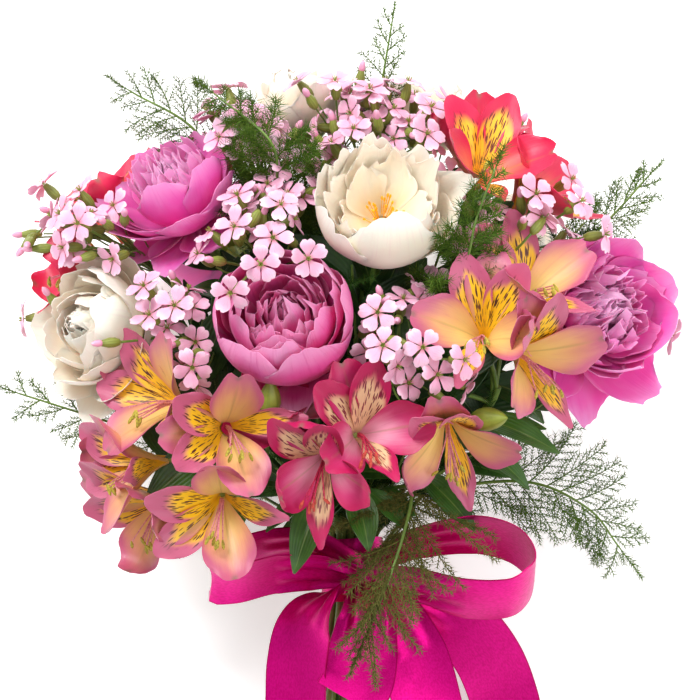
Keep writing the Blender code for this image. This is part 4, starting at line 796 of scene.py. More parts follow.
def petal_grid(rng, rows, columns, start, length, width, angles, cup, ruffle, ragged):
    """The middle sheet of one petal that grows out along +X from the bloom's axis, +Z."""
    v, u = grid_axes(rows, columns)
    widening = np.sin(math.pi / 2 * np.minimum(1, v / PETAL_WIDEST))
    narrowing = 1 - 0.32 * np.maximum(0, (v - PETAL_WIDEST) / (1 - PETAL_WIDEST)) ** 2
    half = width / 2 * (0.22 + 0.78 * widening) * narrowing
    torn = waves(rng, u, (5, 12, 23)) * ragged * v**5
    s = v * (1 - 0.26 * np.abs(u) ** 2.4 * v**2) + torn
    low, high, curl = angles
    t = np.linspace(-0.1, 1.4, 61)
    angle = np.radians(low + (high - low) * t + curl * np.maximum(0, (t - 0.7) / 0.3) ** 2)
    out = np.cumsum(np.cos(angle)) * (t[1] - t[0]) * length
    up = np.cumsum(np.sin(angle)) * (t[1] - t[0]) * length
    zero = np.argmin(np.abs(t))
    out, up = out - out[zero] + start[0], up - up[zero] + start[1]
    r, h, a = np.interp(s, t, out), np.interp(s, t, up), np.interp(s, t, angle)
    bend = cup[0] + (cup[1] - cup[0]) * v
    turn = u * half / bend
    ruffled = waves(rng, u, (3, 7)) + waves(rng, u * 0.4 + v, (6,)) * 0.5
    lift = bend * (1 - np.cos(turn)) + ruffle * v**1.5 * ruffled
    return grid_of(r - lift * np.sin(a), bend * np.sin(turn), h + lift * np.cos(a))


def add_petal(shape, rng, grid, turn, layer, darkest, place):
    spots = grid_spots(*grid.shape[:2], rng.random())
    thick = PETAL_THICK * (1 - 0.45 * spots[..., 1])
    shell(shape, grid, thick, spots, (layer, rng.uniform(0, darkest) ** 2, 0), 0, place @ spun(turn))


def add_whorl(shape, rng, whorl, radius, layer, place, size):
    for k in range(whorl.count):
        uneven = rng.uniform(0.93, 1.07)
        grid = petal_grid(
            rng, *size,
            (whorl.out * radius, whorl.up * radius),
            whorl.length * radius * uneven,
            whorl.width * radius * rng.uniform(0.92, 1.08),
            (whorl.low + rng.uniform(-5, 5), whorl.high + rng.uniform(-7, 7), whorl.curl),
            (whorl.cup_low * radius, whorl.cup_high * radius),
            whorl.ruffle * radius, whorl.ragged,
        )
        turn = whorl.first + 360 / whorl.count * (k + rng.uniform(-0.14, 0.14))
        add_petal(shape, rng, grid, turn, layer, 0.5, place)


def add_guards(shape, rng, name, radius, place):
    start = [share * radius for share in GUARD_START]
    for turn, length, width, low, high, curl, cup, ragged in GUARDS.get(name, ()):
        grid = petal_grid(
            rng, *GUARD_GRID, start, length * radius, width * radius, (low, high, curl),
            (cup * radius, cup * radius), GUARD_RUFFLE * radius, ragged,
        )
        add_petal(shape, rng, grid, turn, 0, 0.4, place)


def add_stamens(shape, rng, radius, place):
    """A ring of yellow stamens round the pale seed cases."""
    for _ in range(STAMENS):
        turn, spread = rng.uniform(0, math.tau), rng.uniform(0.10, 0.30) * radius
        foot = on_circle(turn, spread * 0.5, 0.10 * radius)
        head = on_circle(turn, spread, rng.uniform(0.28, 0.38) * radius)
        tip = head + unit(head - foot) * 2.4
        rod(shape, [foot, foot * 0.4 + head * 0.6, head], 0.28, 4, paint=1, place=place)
        rod(shape, [head, (head + tip) / 2, tip], (0.45, 0.8, 0.4), 5, paint=1, place=place)


def bloom_place(name):
    """Where the bloom grows from: the seat in its CAD solid, so that a bloom pressed to the floor is right
    too."""
    centre, facing, radius, _, _ = PEONIES[name]
    way = unit(facing)
    seat = np.array(centre, float) - way * (PEONY_SEAT * radius)
    points = cad_points(name)
    lowest = points[np.argmin(points @ way)]
    if np.linalg.norm(lowest - seat) > SEAT_SHIFT:
        seat = lowest
    return turned(seat, facing), radius


def build_peony(name):
    _, _, _, form, slot = PEONIES[name]
    place, radius = bloom_place(name)
    rng = random.Random(name)
    shape = Shape()
    whorls = [Whorl(*row) for row in WHORLS[form]]
    for i, whorl in enumerate(whorls):
        size = GUARD_GRID if i < 2 else INNER_GRID
        add_whorl(shape, rng, whorl, radius, i / (len(whorls) - 1), place, size)
    add_guards(shape, rng, name, radius, place)
    if form == "bowl":
        add_stamens(shape, rng, radius, place)
    keep_petals(shape)
    piece(name + "_bloom", shape, (slot, "stamen"), [name])


# Peruvian lilies

LILY_THROAT = 25.0  # from a flower's seat up to its throat
TEPAL_GRID = (17, 13)
TEPAL_THICK = 0.5
SLENDER = 20.0  # a tepal no wider than this runs to a point

# Tepals of a flower: turn round it in degrees from its right-hand side, width, share of the reach, how much
# the tip stands up, and whether it is an inner one. The broad outer ones are at the top and at the sides, the
# slender inner one is below, and the two marked ones stand close together over the topmost one.
TEPALS = (
    (90, 30.0, 1.26, -10.0, False),
    (-6, 32.0, 1.06, -1.0, False),
    (186, 32.0, 1.06, -1.0, False),
    (270, 16.0, 1.0, 0.0, True),
    (67, 25.0, 1.18, -3.5, True),
    (113, 25.0, 1.18, -6.5, True),
)
NEAR_TEPAL = 32.0  # a CAD tepal this near, in degrees, gives the tip of one of these
TIP_REACH = 42.0  # out and up together, for the tip of a whole CAD tepal
USUAL_TIP = (33.0, 37.0)
CLAW = ((1.6, 0.6), (4.0, 15.0), (8.0, 15.0))  # out and up: a tepal's foot, the top of its claw, its bend
FOLDS = (-30, -10, 0, 20, 75)  # degrees that the tip of an outer tepal folds over by
FOLD_FROM = 0.70
LILY_STAMENS = 6


def tepal_tip(local, turn):
    """How far out and up the tip of the CAD flower's tepal at this turn is from the seat."""
    out = np.hypot(local[:, 0], local[:, 1])
    off = (np.degrees(np.arctan2(local[:, 1], local[:, 0])) - turn + 180) % 360 - 180
    reach = np.where(np.abs(off) < NEAR_TEPAL, out + local[:, 2], -1)
    best = int(np.argmax(reach))
    return np.array((out[best], local[best, 2]) if reach[best] > TIP_REACH else USUAL_TIP)


def tepal_grid(rng, tip, width, inner, fold):
    """A tepal that rises in a narrow claw from the seat and opens to its tip. The outer ones are broad and
    notched, and some fold over at the tip."""
    v, u = grid_axes(*TEPAL_GRID)
    foot, claw, bend_at = np.array(CLAW)
    away = unit(tip - bend_at)
    t = np.linspace(0, 1, 41)[:, None]
    line = ((1 - t) ** 3 * foot + 3 * (1 - t) ** 2 * t * claw
            + 3 * (1 - t) * t**2 * (tip - away * 12) + t**3 * tip)
    gone = distances(line)
    peak = 0.66 if inner else 0.72
    rising = np.sin(math.pi / 2 * np.clip((v - 0.10) / (peak - 0.10), 0, 1)) ** (1.5 if inner else 1.35)
    past = np.clip((v - peak) / (1 - peak), 0, 1)
    half = width / 2 * (0.21 + 0.79 * rising) * (1 - (0.24 if width > SLENDER else 0.46) * past**2)
    frill = waves(rng, u, (5, 11)) * (0.010 if inner else 0.016) * v**4
    rounding = 0.18 * np.abs(u) ** 2.0 if inner else 0.20 * np.abs(u) ** 2.6
    notch = (0.02 if inner else -0.045) * np.exp(-((u / 0.20) ** 2)) * v**10
    s = v * (1 - rounding * v**2) + notch + frill
    slope = np.gradient(line, axis=0)
    heading = np.arctan2(slope[:, 1], slope[:, 0])
    r, h, a = (np.interp(s * gone[-1], gone, held) for held in (line[:, 0], line[:, 1], heading))
    bent = np.radians(fold) * np.maximum(0, (s - FOLD_FROM) / (1 - FOLD_FROM)) ** 1.5
    reach = np.maximum(0, s - FOLD_FROM) * gone[-1]
    r = r + reach * (np.cos(a + bent * 0.6) - np.cos(a))
    h = h + reach * (np.sin(a + bent * 0.6) - np.sin(a))
    a = a + bent
    bend = 5.0 + (19.0 if inner else 27.0) * v**1.5
    turn = u * half / bend
    lift = bend * (1 - np.cos(turn)) + waves(rng, u * 0.5 + v * 0.6, (4,)) * 0.8 * v
    lift = lift + 0.5 * waves(rng, u * 0.9, (7,)) * v**3
    return grid_of(r - lift * np.sin(a), bend * np.sin(turn), h + lift * np.cos(a))


def add_lily_stamens(shape, rng, place, droop):
    """A style and six stamens that lean to the flower's low side."""
    for k in range(1 + LILY_STAMENS):
        turn = math.radians(droop + rng.uniform(-34, 34))
        reach, rise = rng.uniform(9, 15), rng.uniform(30, 38)
        side = on_circle(turn)
        foot = np.array((rng.uniform(-1, 1), rng.uniform(-1, 1), 8.0))
        head = on_circle(turn, reach, rise)
        line = curve_between(foot, (0, 0, 1), head, side * 0.5 + (0, 0, 0.9), 6)
        rod(shape, line, np.linspace(0.5, 0.32, 7), 5, paint=1, place=place)
        if k:
            ahead = unit(side + (0, 0, rng.uniform(-0.4, 0.5)))
            anther = head + np.outer((-1.0, 1.2, 3.2, 4.4), ahead)
            rod(shape, anther, (0.4, 1.0, 0.9, 0.3), 6, paint=2, place=place)


def build_lily(name):
    _, kind, flowers = LILIES[name]
    red = "red_" if kind == "crimson" else ""
    for i, (throat, facing, roll) in enumerate(flowers, 1):
        node = f"{name}_flower_{i}"
        rng = random.Random(node)
        at = turned(Vector(throat) - Vector(facing).normalized() * LILY_THROAT, facing, roll)
        shape = Shape()
        low = Vector((0, -1, 0)) @ at.to_3x3()
        droop = math.degrees(math.atan2(low.y, low.x))
        local = moved(cad_points(node), at.inverted())
        for turn, width, reach, lift, inner in TEPALS:
            tip = tepal_tip(local, turn) * (reach, 1.0) + (0.0, lift)
            grid = tepal_grid(rng, tip, width, inner, rng.uniform(-15, 10) if inner else rng.choice(FOLDS))
            spots = grid_spots(*TEPAL_GRID, rng.random())
            tone = (float(inner), rng.uniform(0, 0.5) ** 2, 0)
            off = spun(turn + rng.uniform(-5, 5))
            shell(shape, grid, TEPAL_THICK - 0.2 * spots[..., 1], spots, tone, 0, at @ off)
        add_lily_stamens(shape, rng, at, droop)
        keep_petals(shape)
        piece(node + "_tepals", shape, (kind, red + "filament", red + "anther"), [node])


# Room among the blooms

PEONY_ROOM = 0.96
LILY_ROOM = 15.0
LILY_MIDDLE = 4.0  # a lily's middle lies this far above its throat


def bloom_balls():
    """The middle and radius of each bloom, for foliage to stay out of."""
    for centre, _, radius, _, _ in PEONIES.values():
        yield centre, radius * PEONY_ROOM
    for _, _, flowers in LILIES.values():
        for throat, facing, _ in flowers:
            yield np.array(throat, float) + unit(facing) * LILY_MIDDLE, LILY_ROOM


def is_clear(points):
    """Whether foliage here stays out of every bloom."""
    points = np.asarray(points, float).reshape(-1, 3)
    return all((np.linalg.norm(points - middle, axis=1) >= room).all() for middle, room in bloom_balls())


# What the blooms are made of, in the bouquet's frame: points and faces, for florets to stand clear of
PETALS = []
FLORET_REACH = 8.0
PETAL_GAP = 2.2  # a floret that comes nearer to a petal than this meets it


def keep_petals(shape):
    first = sum(len(points) for points, _ in PETALS)
    faces = [[corner + first for corner in face] for face in shape.faces]
    PETALS.append((np.concatenate(shape.points), faces))


def petals_tree():
    points = np.concatenate([points for points, _ in PETALS])
    return BVHTree.FromPolygons(points.tolist(), [face for _, faces in PETALS for face in faces])


def floret_meets(tree, place, way):
    """Whether an open floret here would cut a petal of a bloom."""
    at = turned(place, way)
    for k in range(6):
        probe = at @ Vector(on_circle(math.tau * k / 6, FLORET_REACH, 2.5))
        if tree.find_nearest(probe)[3] < PETAL_GAP:
            return True
    return tree.find_nearest(Vector(place))[3] < PETAL_GAP * 2


# Soapwort

OWN_ROOM = 17.0  # the least distance between florets of the CAD spray
BUD_EACH = 5  # one in this many of them is a bud
GOLDEN_ANGLE = math.radians(137.5)
DOMED = 0.010
LIFTS = (0, 6, 12, 18, -8, 24)
ROOT_STEP = 3.4  # along a stem from one stalk to the next
SAME_SPOT = 0.8  # a floret is in the CAD solid where the solid comes this near to it


def spray_florets(name):
    """The place, facing, spin and kind of each floret that the CAD spray has."""
    middle, facing, reach, count, roll, _, _ = SPRAYS[name]
    middle, facing = Vector(middle), Vector(facing).normalized()
    rng = random.Random(name)
    frame_way = turned(middle, facing, roll).to_3x3()
    tree = cad_tree(name)
    found = []
    for i in range(count):
        spread = reach * math.sqrt((i + 0.4) / count)
        aside = frame_way @ Vector(on_circle(i * GOLDEN_ANGLE))
        way = (facing * 1.1 + aside * (0.9 * spread / reach)).normalized()
        spin = rng.uniform(0, 72)
        is_open = i % BUD_EACH != BUD_EACH - 1
        for lift in LIFTS:
            place = middle + aside * spread + facing * (lift - DOMED * spread**2 + rng.uniform(-3, 3))
            if any((place - other).length < OWN_ROOM for other, _, _, _ in found):
                continue
            probe = place + way * (1.0 if is_open else 6.0)
            if tree.find_nearest(probe)[3] < SAME_SPOT:
                found.append((place, way, spin, is_open))
                break
    return found


FLORET_GRID = (6, 7)
FLORET_HALF = 4.3
FLORET_THICK = 0.35
CALYX_LENGTH = 12.0
CALYX_HEIGHTS = np.array((-1.0, -0.93, -0.7, -0.4, -0.12, 0.0)) * CALYX_LENGTH
CALYX_RADII = np.array((0.7, 1.9, 2.9, 3.0, 2.1, 1.7)) * 0.95


def floret_grid(rng):
    """One heart-shaped petal, out along +X from the throat."""
    v, u = grid_axes(*FLORET_GRID)
    widening = 0.15 + 0.85 * np.sin(math.pi / 2 * np.minimum(1, v / 0.78)) ** 1.5
    half = FLORET_HALF * widening * (1 - 0.22 * np.maximum(0, v - 0.72) / 0.28)
    s = v * (1 - 0.12 * np.exp(-((u / 0.30) ** 2)) * v**4 - 0.20 * np.abs(u) ** 3 * v**2)
    length, rise = rng.uniform(9.2, 10.8), rng.uniform(-1.0, 5.5)
    x = 1.2 + length * s
    z = 1.2 + rise * s**1.5 - rng.uniform(0, 4.2) * s**4 + 0.35 * np.cos(u * 2.6) * v
    return grid_of(x, u * half, z + rng.uniform(-0.35, 0.35) * u * half * v)


def add_floret(shape, rng, place, way, spin, is_open, size):
    """A ribbed calyx with five petals and five stamens, or with a bud."""
    at = turned(place, way, spin) @ Matrix.Scale(size, 4)
    tone = (0, rng.uniform(0, 0.7) ** 2, 0)
    rod(shape, upright(CALYX_HEIGHTS), CALYX_RADII, 8, tone, 1, rng.random(), at)
    if not is_open:
        rod(shape, upright((-0.5, 2.0, 4.6, 6.0)), (1.6, 2.0, 1.4, 0.2), 8, (0, 0.8, 0), 0, rng.random(), at)
        return
    for k in range(5):
        turn = spun(72 * k + rng.uniform(-6, 6))
        spots = grid_spots(*FLORET_GRID, rng.random())
        shell(shape, floret_grid(rng), FLORET_THICK, spots, tone, 0, at @ turn)
    for k in range(5):
        head = on_circle(math.radians(72 * k + 36), 1.1, 3.2)
        rod(shape, [(0, 0, 0), head, head * 1.25], (0.2, 0.3, 0.15), 4, paint=2, place=at)


def add_stalked_floret(shape, rng, root, along, thick, place, way, *floret):
    """A floret on its stalk, which leaves the root along the given way."""
    seat = np.array(place) - np.array(way) * CALYX_LENGTH
    rod(shape, curve_between(root, along, seat, way, 7, 0.3), thick, 5, paint=3)
    add_floret(shape, rng, place, way, *floret)


def loose_way(rng, facing, aside, share, tilt):
    """A floret's facing: outward by the share, and tilted at random."""
    return unit(facing + aside * share + np.array([rng.gauss(0, tilt) for _ in range(3)]))


EXTRA_ROOM = 10.0
EXTRA_TILT = 0.5
EXTRA_TRIES = 3
SPRAY_FORK = 58.0  # from the middle of a spray's head down to its fork
RAISES = (0, 3, 6, 9, 12)


def raise_needed(petals, place, way):
    """The least of RAISES that lifts a floret clear of the petals, or 0 if none does."""
    return next((raised for raised in RAISES if not floret_meets(petals, place + way * raised, way)), 0)


def build_spray(name, petals):
    middle, facing, reach, count, roll, extras, wider = SPRAYS[name]
    facing = np.array(Vector(facing).normalized())
    rng = random.Random(name + " fine")
    shape = Shape()
    line = centreline(name, SPRAY_STEM / 2, float(middle[1] - facing[1] * SPRAY_FORK))
    stem(shape, line, SPRAY_STEM, 8, 3)
    florets = [(place + way * raise_needed(petals, place, way), way, spin, is_open)
               for place, way, spin, is_open in spray_florets(name)]
    end, along = line[-1], unit(line[-1] - line[-3])
    frame_way = np.array(turned(middle, facing, roll).to_3x3())
    places = [np.array(place) for place, _, _, _ in florets]
    for i in range(extras * EXTRA_TRIES):
        spread = reach * wider * math.sqrt((i + 0.7) / (extras * EXTRA_TRIES))
        aside = frame_way @ on_circle(i * GOLDEN_ANGLE + 1.0)
        way = loose_way(rng, facing * 0.9, aside, 1.1 * spread / reach, EXTRA_TILT)
        place = np.array(middle) + aside * spread + facing * (rng.uniform(-22, -4) - DOMED * spread**2)
        is_free = all(np.linalg.norm(place - other) > EXTRA_ROOM for other in places)
        is_wanted = is_free and len(places) < count + extras
        if is_wanted and is_clear(place) and not floret_meets(petals, place, way):
            places.append(place)
            florets.append((place, way, rng.uniform(0, 72), i % 3 != 2))
    for i, floret in enumerate(florets):
        thick, size = (0.75, 1.0) if i < count else (0.5, 0.9)
        root = end - along * (1.5 + ROOT_STEP * (i % 7))
        add_stalked_floret(shape, rng, root, along, thick, *floret, size)
    piece(name + "_spray", shape, SPRAY_PAINTS, [name])


# Small sprigs beside the sprays: middle of the head, facing, reach, number of florets, and of how many one is
# a bud
SPRIGS = {
    "sprig_right": ((166, 138, 4), (0.80, 0.05, 0.45), 20, 7, 4),
    "sprig_left": ((-170, 140, 6), (-0.80, -0.05, 0.5), 16, 5, 4),
    "sprig_far_left": ((-176, 186, 10), (-0.92, 0.12, 0.30), 18, 6, 1),
    "sprig_top": ((-8, 268, 14), (-0.05, 0.95, 0.3), 30, 9, 4),
    "sprig_top_right": ((92, 234, 16), (0.5, 0.7, 0.45), 26, 8, 4),
    "sprig_shoulder": ((98, 204, 52), (0.4, 0.45, 0.8), 28, 10, 4),
    "sprig_top_left": ((-60, 250, 16), (-0.3, 0.8, 0.5), 26, 8, 3),
    "sprig_middle": ((52, 150, 66), (0.2, 0.1, 0.95), 20, 6, 4),
    "sprig_front": ((7, 132, 84), (0.1, 0.3, 0.95), 17, 4, 4),
}
SPRIG_STALK = 46.0
SPRIG_FOOT = 0.06  # share of the fork's place at which the stalk passes the tie


def build_sprig(name, petals):
    middle, facing, reach, count, bud_each = SPRIGS[name]
    facing = unit(facing)
    rng = random.Random(name)
    shape = Shape()
    fork = np.array(middle) - facing * SPRIG_STALK
    foot = np.array((fork[0] * SPRIG_FOOT, 0.0, fork[2] * SPRIG_FOOT))
    stalk = smooth_curve([foot, foot * 0.5 + fork * 0.5 + (0, 6, -14), fork], 12)
    rod(shape, stalk, 1.2, 6, paint=3)
    frame_way = np.array(turned(middle, facing).to_3x3())
    for i in range(count):
        spread = reach * math.sqrt((i + 0.4) / count)
        aside = frame_way @ on_circle(i * GOLDEN_ANGLE)
        way = loose_way(rng, facing, aside, 0.9 * spread / reach, 0.3)
        place = np.array(middle) + aside * spread + facing * rng.uniform(-10, 4)
        if not floret_meets(petals, place, way):
            kind = (rng.uniform(0, 72), i % bud_each != bud_each - 1, 0.95)
            add_stalked_floret(shape, rng, fork, facing, 0.5, place, way, *kind)
    piece("soapwort_" + name, shape, SPRAY_PAINTS)


# Ferns

NEEDLE = 4.4
TRAILING = "fern_over_ribbon"  # this one hangs in separate slender twigs
TRAILING_BARE = 0.28  # share of its stem that lies behind the leaves, with no twigs
BARE = 0.06  # the same for the others
TRAILING_TWIGS = 0.16  # length of its short twigs, as a share of the branch's
TWIGS = 0.34  # the same for the others
BUSHY_NEEDLE = 7.5
BUSHY = ("fern_right_plume", "fern_centre_left")
BUSHY_SHARES = (1.50, 0.45)  # of the usual length, for the lowest and the topmost branch of a bushy fern
PLUME_STEPS = 8


def needles_on(rng, line, spacing, length, count, spread=0.75):
    """Roots and tips of clusters of needles along a twig."""
    fine = even(line, spacing)
    along = unit(np.gradient(fine, axis=0))
    roots, tips = [], []
    for point, way in zip(fine[1:], along[1:]):
        x = unit(np.cross(way, any_way(rng, (-1, 1), (-1, 1), (-1, 1))))
        y = np.cross(way, x)
        first = rng.uniform(0, math.tau)
        for k in range(count):
            turn = first + math.tau * k / count
            out = unit(way * rng.uniform(0.5, 0.9) + (x * math.cos(turn) + y * math.sin(turn)) * spread)
            roots.append(point)
            tips.append(point + out * length * rng.uniform(0.7, 1.1))
    return roots, tips


def add_plume(shape, rng, root, way, normal, length, needle, twiggy=TWIGS):
    """One side branch of the fern: a thin twig with short twigs on both sides, all set with needles."""
    across = unit(np.cross(way, normal))
    t = np.linspace(0, 1, PLUME_STEPS + 1)[:, None]
    line = root + way * length * t + across * (length * rng.uniform(-0.22, 0.22) * t**2)
    rod(shape, line, np.linspace(0.45, 0.2, PLUME_STEPS + 1), 4)
    bushy = needle > NEEDLE
    roots, tips = needles_on(rng, line, 1.4 if bushy else 1.9, needle, 5 if bushy else 3)
    fine = even(line, 2.6)
    s = np.linspace(0, 1, 4)[:, None]
    for i, point in enumerate(fine[1:-1], 1):
        side = across * (1 if i % 2 else -1)
        reach = length * twiggy * (1 - i / len(fine) * 0.75) * rng.uniform(0.75, 1.15)
        out = unit(way * 0.9 + side * 0.75 + normal * rng.uniform(-0.35, 0.35))
        twig = point + out * reach * s + way * (reach * 0.15 * s**2)
        rod(shape, twig, 0.2, 3)
        more_roots, more_tips = needles_on(rng, twig, 1.7, needle, 4 if bushy else 3)
        roots += more_roots
        tips += more_tips
    spikes(shape, roots, tips, 0.27, (0, rng.uniform(0, 0.6), 0))


def build_fern(name):
    through, longest, count, flat_way = FERNS[name]
    is_trailing = name == TRAILING
    rng = random.Random(name + " fine")
    shape = Shape()
    lower = centreline(name, FERN_STEM / 2, through[0][1])
    stem(shape, lower, FERN_STEM, 8, 1)
    upper = even(smooth_curve([lower[-3], lower[-1], *through[1:]], 8), 2.0)
    rod(shape, upper, np.linspace(FERN_STEM / 2, 0.5, len(upper)), 8, paint=1)
    branches = count * 2 + 5
    needle = BUSHY_NEEDLE if name in BUSHY else NEEDLE
    bare = TRAILING_BARE if is_trailing else BARE
    for i in range(branches):
        t = (i + 0.6) / branches
        k = int((bare + (1 - bare) * t) * (len(upper) - 1))
        ahead = way_at(upper, k)
        side = np.array(flat_way, float)
        side = unit(side - ahead * (side @ ahead)) * (1 if i % 2 else -1)
        normal = np.cross(ahead, side)
        length = longest * (0.30 + 0.70 * math.sin(math.pi * (0.12 + 0.80 * t))) * rng.uniform(0.85, 1.05)
        if name in BUSHY:
            length *= BUSHY_SHARES[0] + (BUSHY_SHARES[1] - BUSHY_SHARES[0]) * t
        if is_trailing:
            aside = side * rng.uniform(0.2, 0.3 + 2.4 * (1 - t))
            way = unit(ahead * (0.3, 1, 0.3) + aside + (0, -0.35, rng.uniform(-0.05, 0.25)))
            length = longest * rng.uniform(1.0, 1.75) * (1 - 0.5 * t)
        else:
            way = unit(ahead * 0.70 + side * 0.70 + normal * rng.uniform(-0.45, 0.45))
        twiggy = TRAILING_TWIGS if is_trailing else TWIGS
        add_plume(shape, rng, upper[k], way, unit(normal), length, needle, twiggy)
    side = unit(np.cross(ahead, (0.2, 0.3, 0.9)))
    add_plume(shape, rng, upper[-1], ahead, side, longest * 0.5, needle)
    needles = "trailing_needle" if is_trailing else "needle"
    piece(name + "_frond", shape, (needles, "stalk"), [name])


# Stems, leaves and buds

# Stem: for each leaf its height on the stem, way, length, width, bend and face
LEAVES = {
    "lily_crimson": (
        (40, (-0.55, -0.35, 0.8), 52, 17, 60, (0.2, 0.75, 0.6)),
        (44, (0.25, -0.25, 0.9), 50, 15, 60, (0, 0.75, 0.6)),
        (52, (0.75, -0.2, 0.5), 46, 13, 45, (0, 0.6, 0.8)),
    ),
    "lily_left": (
        (34, (-0.6, -0.4, 0.6), 44, 13, 50, (0, 0.6, 0.8)),
        (44, (-0.9, 0.1, 0.1), 60, 15, 40, (0, 0.4, 0.9)),
    ),
    "lily_right": (
        (40, (0.8, -0.35, 0.4), 58, 16, 40, (0, 0.4, 0.9)),
        (62, (0.9, -0.1, 0.2), 60, 14, 35, (0, 0.4, 0.9)),
        (80, (0.8, 0.1, 0.5), 50, 14, 35, (0, 0.5, 0.8)),
    ),
    "peony_pink_centre": (
        (92, (-0.7, 0.1, 0.6), 46, 22, 25, (0.2, 0.5, 0.8)),
        (70, (0.6, 0.2, 0.7), 44, 18, 25, (0, 0.5, 0.8)),
    ),
    "peony_pink_right": (
        (80, (0.9, -0.3, -0.3), 66, 24, 30, (0.3, 0.5, 0.7)),
        (108, (0.8, -0.5, 0.1), 52, 20, 30, (0.2, 0.6, 0.7)),
    ),
    "peony_white_left": ((70, (-0.9, -0.2, -0.1), 64, 24, 30, (-0.2, 0.5, 0.8)),),
    "peony_pink_left": ((150, (-0.8, 0.3, -0.4), 58, 22, 25, (-0.2, 0.4, 0.8)),),
    "peony_white_behind": ((190, (0.9, 0.4, 0.1), 66, 22, 25, (0.2, 0.5, 0.8)),),
    "peony_pink_behind": ((80, (-0.8, -0.1, -0.5), 62, 26, 20, (-0.4, 0.3, -0.8)),),
    "peony_white_low": (
        (80, (0.8, -0.1, -0.5), 62, 26, 20, (0.4, 0.3, -0.8)),
        (110, (0.0, 0.75, -0.6), 56, 24, 20, (0, 0.3, -0.9)),
    ),
    "lily_coral": ((120, (0.9, 0.4, 0.0), 56, 14, 30, (0, 0.5, 0.8)),),
    "lily_coral_left": (
        (110, (-0.9, 0.1, -0.2), 62, 15, 30, (0, 0.4, 0.9)),
        (130, (-0.8, 0.6, 0.0), 50, 13, 30, (0, 0.4, 0.9)),
    ),
}
LEAF_SIZES = (1.0, 0.85, 0.7, 0.55)
LEAF_TURNS = (0, 18, -18, 36, -36, 55, -55)
LEAF_FOUND = 3.5  # how near the CAD solid comes to the tip of a leaf that it has
LEAF_FOLD = 0.25
LEAF_THICK = 0.6
LEAF_GRID = (15, 9)

# Stem: for each green bud the height of its shoot on the stem, its tip, facing, length and radius
BUDS = {
    "lily_left": ((56, (-43, 104, 86), (0.05, 0.85, 0.50), 23, 5.6),),
    "lily_right": (
        (80, (82, 84, 88), (0.72, 0.05, 0.70), 26, 6.0),
        (76, (50, 93, 92), (-0.2, 0.35, 0.90), 18, 5.0),
    ),
    "peony_pink_right": ((90, (164, 99, -8), (0.9, -0.1, 0.1), 17, 8.0),),
}

# Leaves that lie over the front, below the lilies: stem, root, tip, width, way that the face looks
FRONT_LEAVES = {
    "lily_crimson": (
        ((-14, 46, 42), (-31, 0, 58), 19, (-0.2, 0.35, 0.9)),
        ((2, 44, 44), (9, 12, 60), 17, (0.1, 0.4, 0.9)),
        ((-20, 44, 40), (-46, 22, 54), 12, (-0.3, 0.5, 0.8)),
        ((8, 44, 40), (30, 22, 56), 12, (0.3, 0.5, 0.8)),
    ),
    "lily_right": (
        ((38, 52, 38), (66, 22, 46), 17, (0.2, 0.5, 0.8)),
        ((64, 84, 36), (112, 64, 40), 16, (0.2, 0.6, 0.8)),
        ((60, 74, 34), (96, 44, 34), 15, (0.3, 0.5, 0.8)),
    ),
    "lily_left": (
        ((-62, 60, 34), (-88, 18, 26), 15, (-0.3, 0.4, 0.8)),
        ((-58, 54, 34), (-66, 12, 40), 15, (-0.1, 0.5, 0.8)),
        ((-70, 70, 34), (-112, 36, 42), 24, (-0.2, 0.3, 0.9)),
    ),
}
FRONT_BEND = 35.0


def leaf_grid(rng, length, width, bend):
    """A lance-shaped blade from the origin along +Y, folded a little along its midrib and waved."""
    v, u = grid_axes(*LEAF_GRID)
    half = width / 2 * np.maximum(0.03, np.sin(math.pi * np.minimum(1, v * 0.90 + 0.09)) ** 0.85)
    angle = -np.radians(bend) * v
    y, z = length * v * np.cos(angle / 2), length * v * np.sin(angle / 2)
    wave = 0.06 * width * np.sin(v * 9 + rng.uniform(0, 6)) * np.abs(u) * v
    fold = np.abs(u) * half * LEAF_FOLD * (1 + 0.3 * np.abs(u))
    return grid_of(u * half, y, z + fold + wave)


def is_leaf_clear(at, length, width, bend):
    return is_clear(moved(leaf_grid(random.Random(1), length, width, bend), at))


def on_line(line, y):
    """The point of a stem's line at the height y."""
    return np.array([np.interp(y, line[:, 1], line[:, k]) for k in range(3)])


def leaf_frame(root, ahead, face):
    """A leaf's own frame: its blade runs ahead from the root, and its upper side looks to face."""
    return framed(ahead, square_to(Vector(face), ahead), root)


def leaf_on(line, y, way, face, turn):
    """The frame of a leaf on the stem's line at the height y, turned about the stem."""
    k = int(np.argmin(np.abs(line[:, 1] - y)))
    ahead = Matrix.Rotation(math.radians(turn), 3, Vector(way_at(line, k))) @ Vector(way).normalized()
    return leaf_frame(on_line(line, y), ahead, face)


def add_leaf(shape, rng, at, length, width, bend, paint):
    grid = leaf_grid(rng, length, width, bend)
    spots = grid_spots(*LEAF_GRID, rng.random())
    shell(shape, grid, LEAF_THICK, spots, (0, rng.uniform(0, 0.6) ** 2, 0), paint, at)


def add_leaves(shape, rng, name, line, tree):
    """The leaves that the CAD stem has, at the size and turn that it has them."""
    for y, way, length, width, bend, face in LEAVES.get(name, ()):
        fits = []
        angle = math.radians(bend)
        for size in LEAF_SIZES:
            for turn in LEAF_TURNS:
                at = leaf_on(line, y, way, face, turn)
                ahead, down = length * size * math.cos(angle / 2), length * size * math.sin(angle / 2)
                fits.append((tree.find_nearest(at @ Vector((0, ahead, -down)))[3], size, turn))
        gap, size, turn = min(fits)
        if gap < LEAF_FOUND:
            add_leaf(shape, rng, leaf_on(line, y, way, face, turn), length * size, width * size, bend, 1)


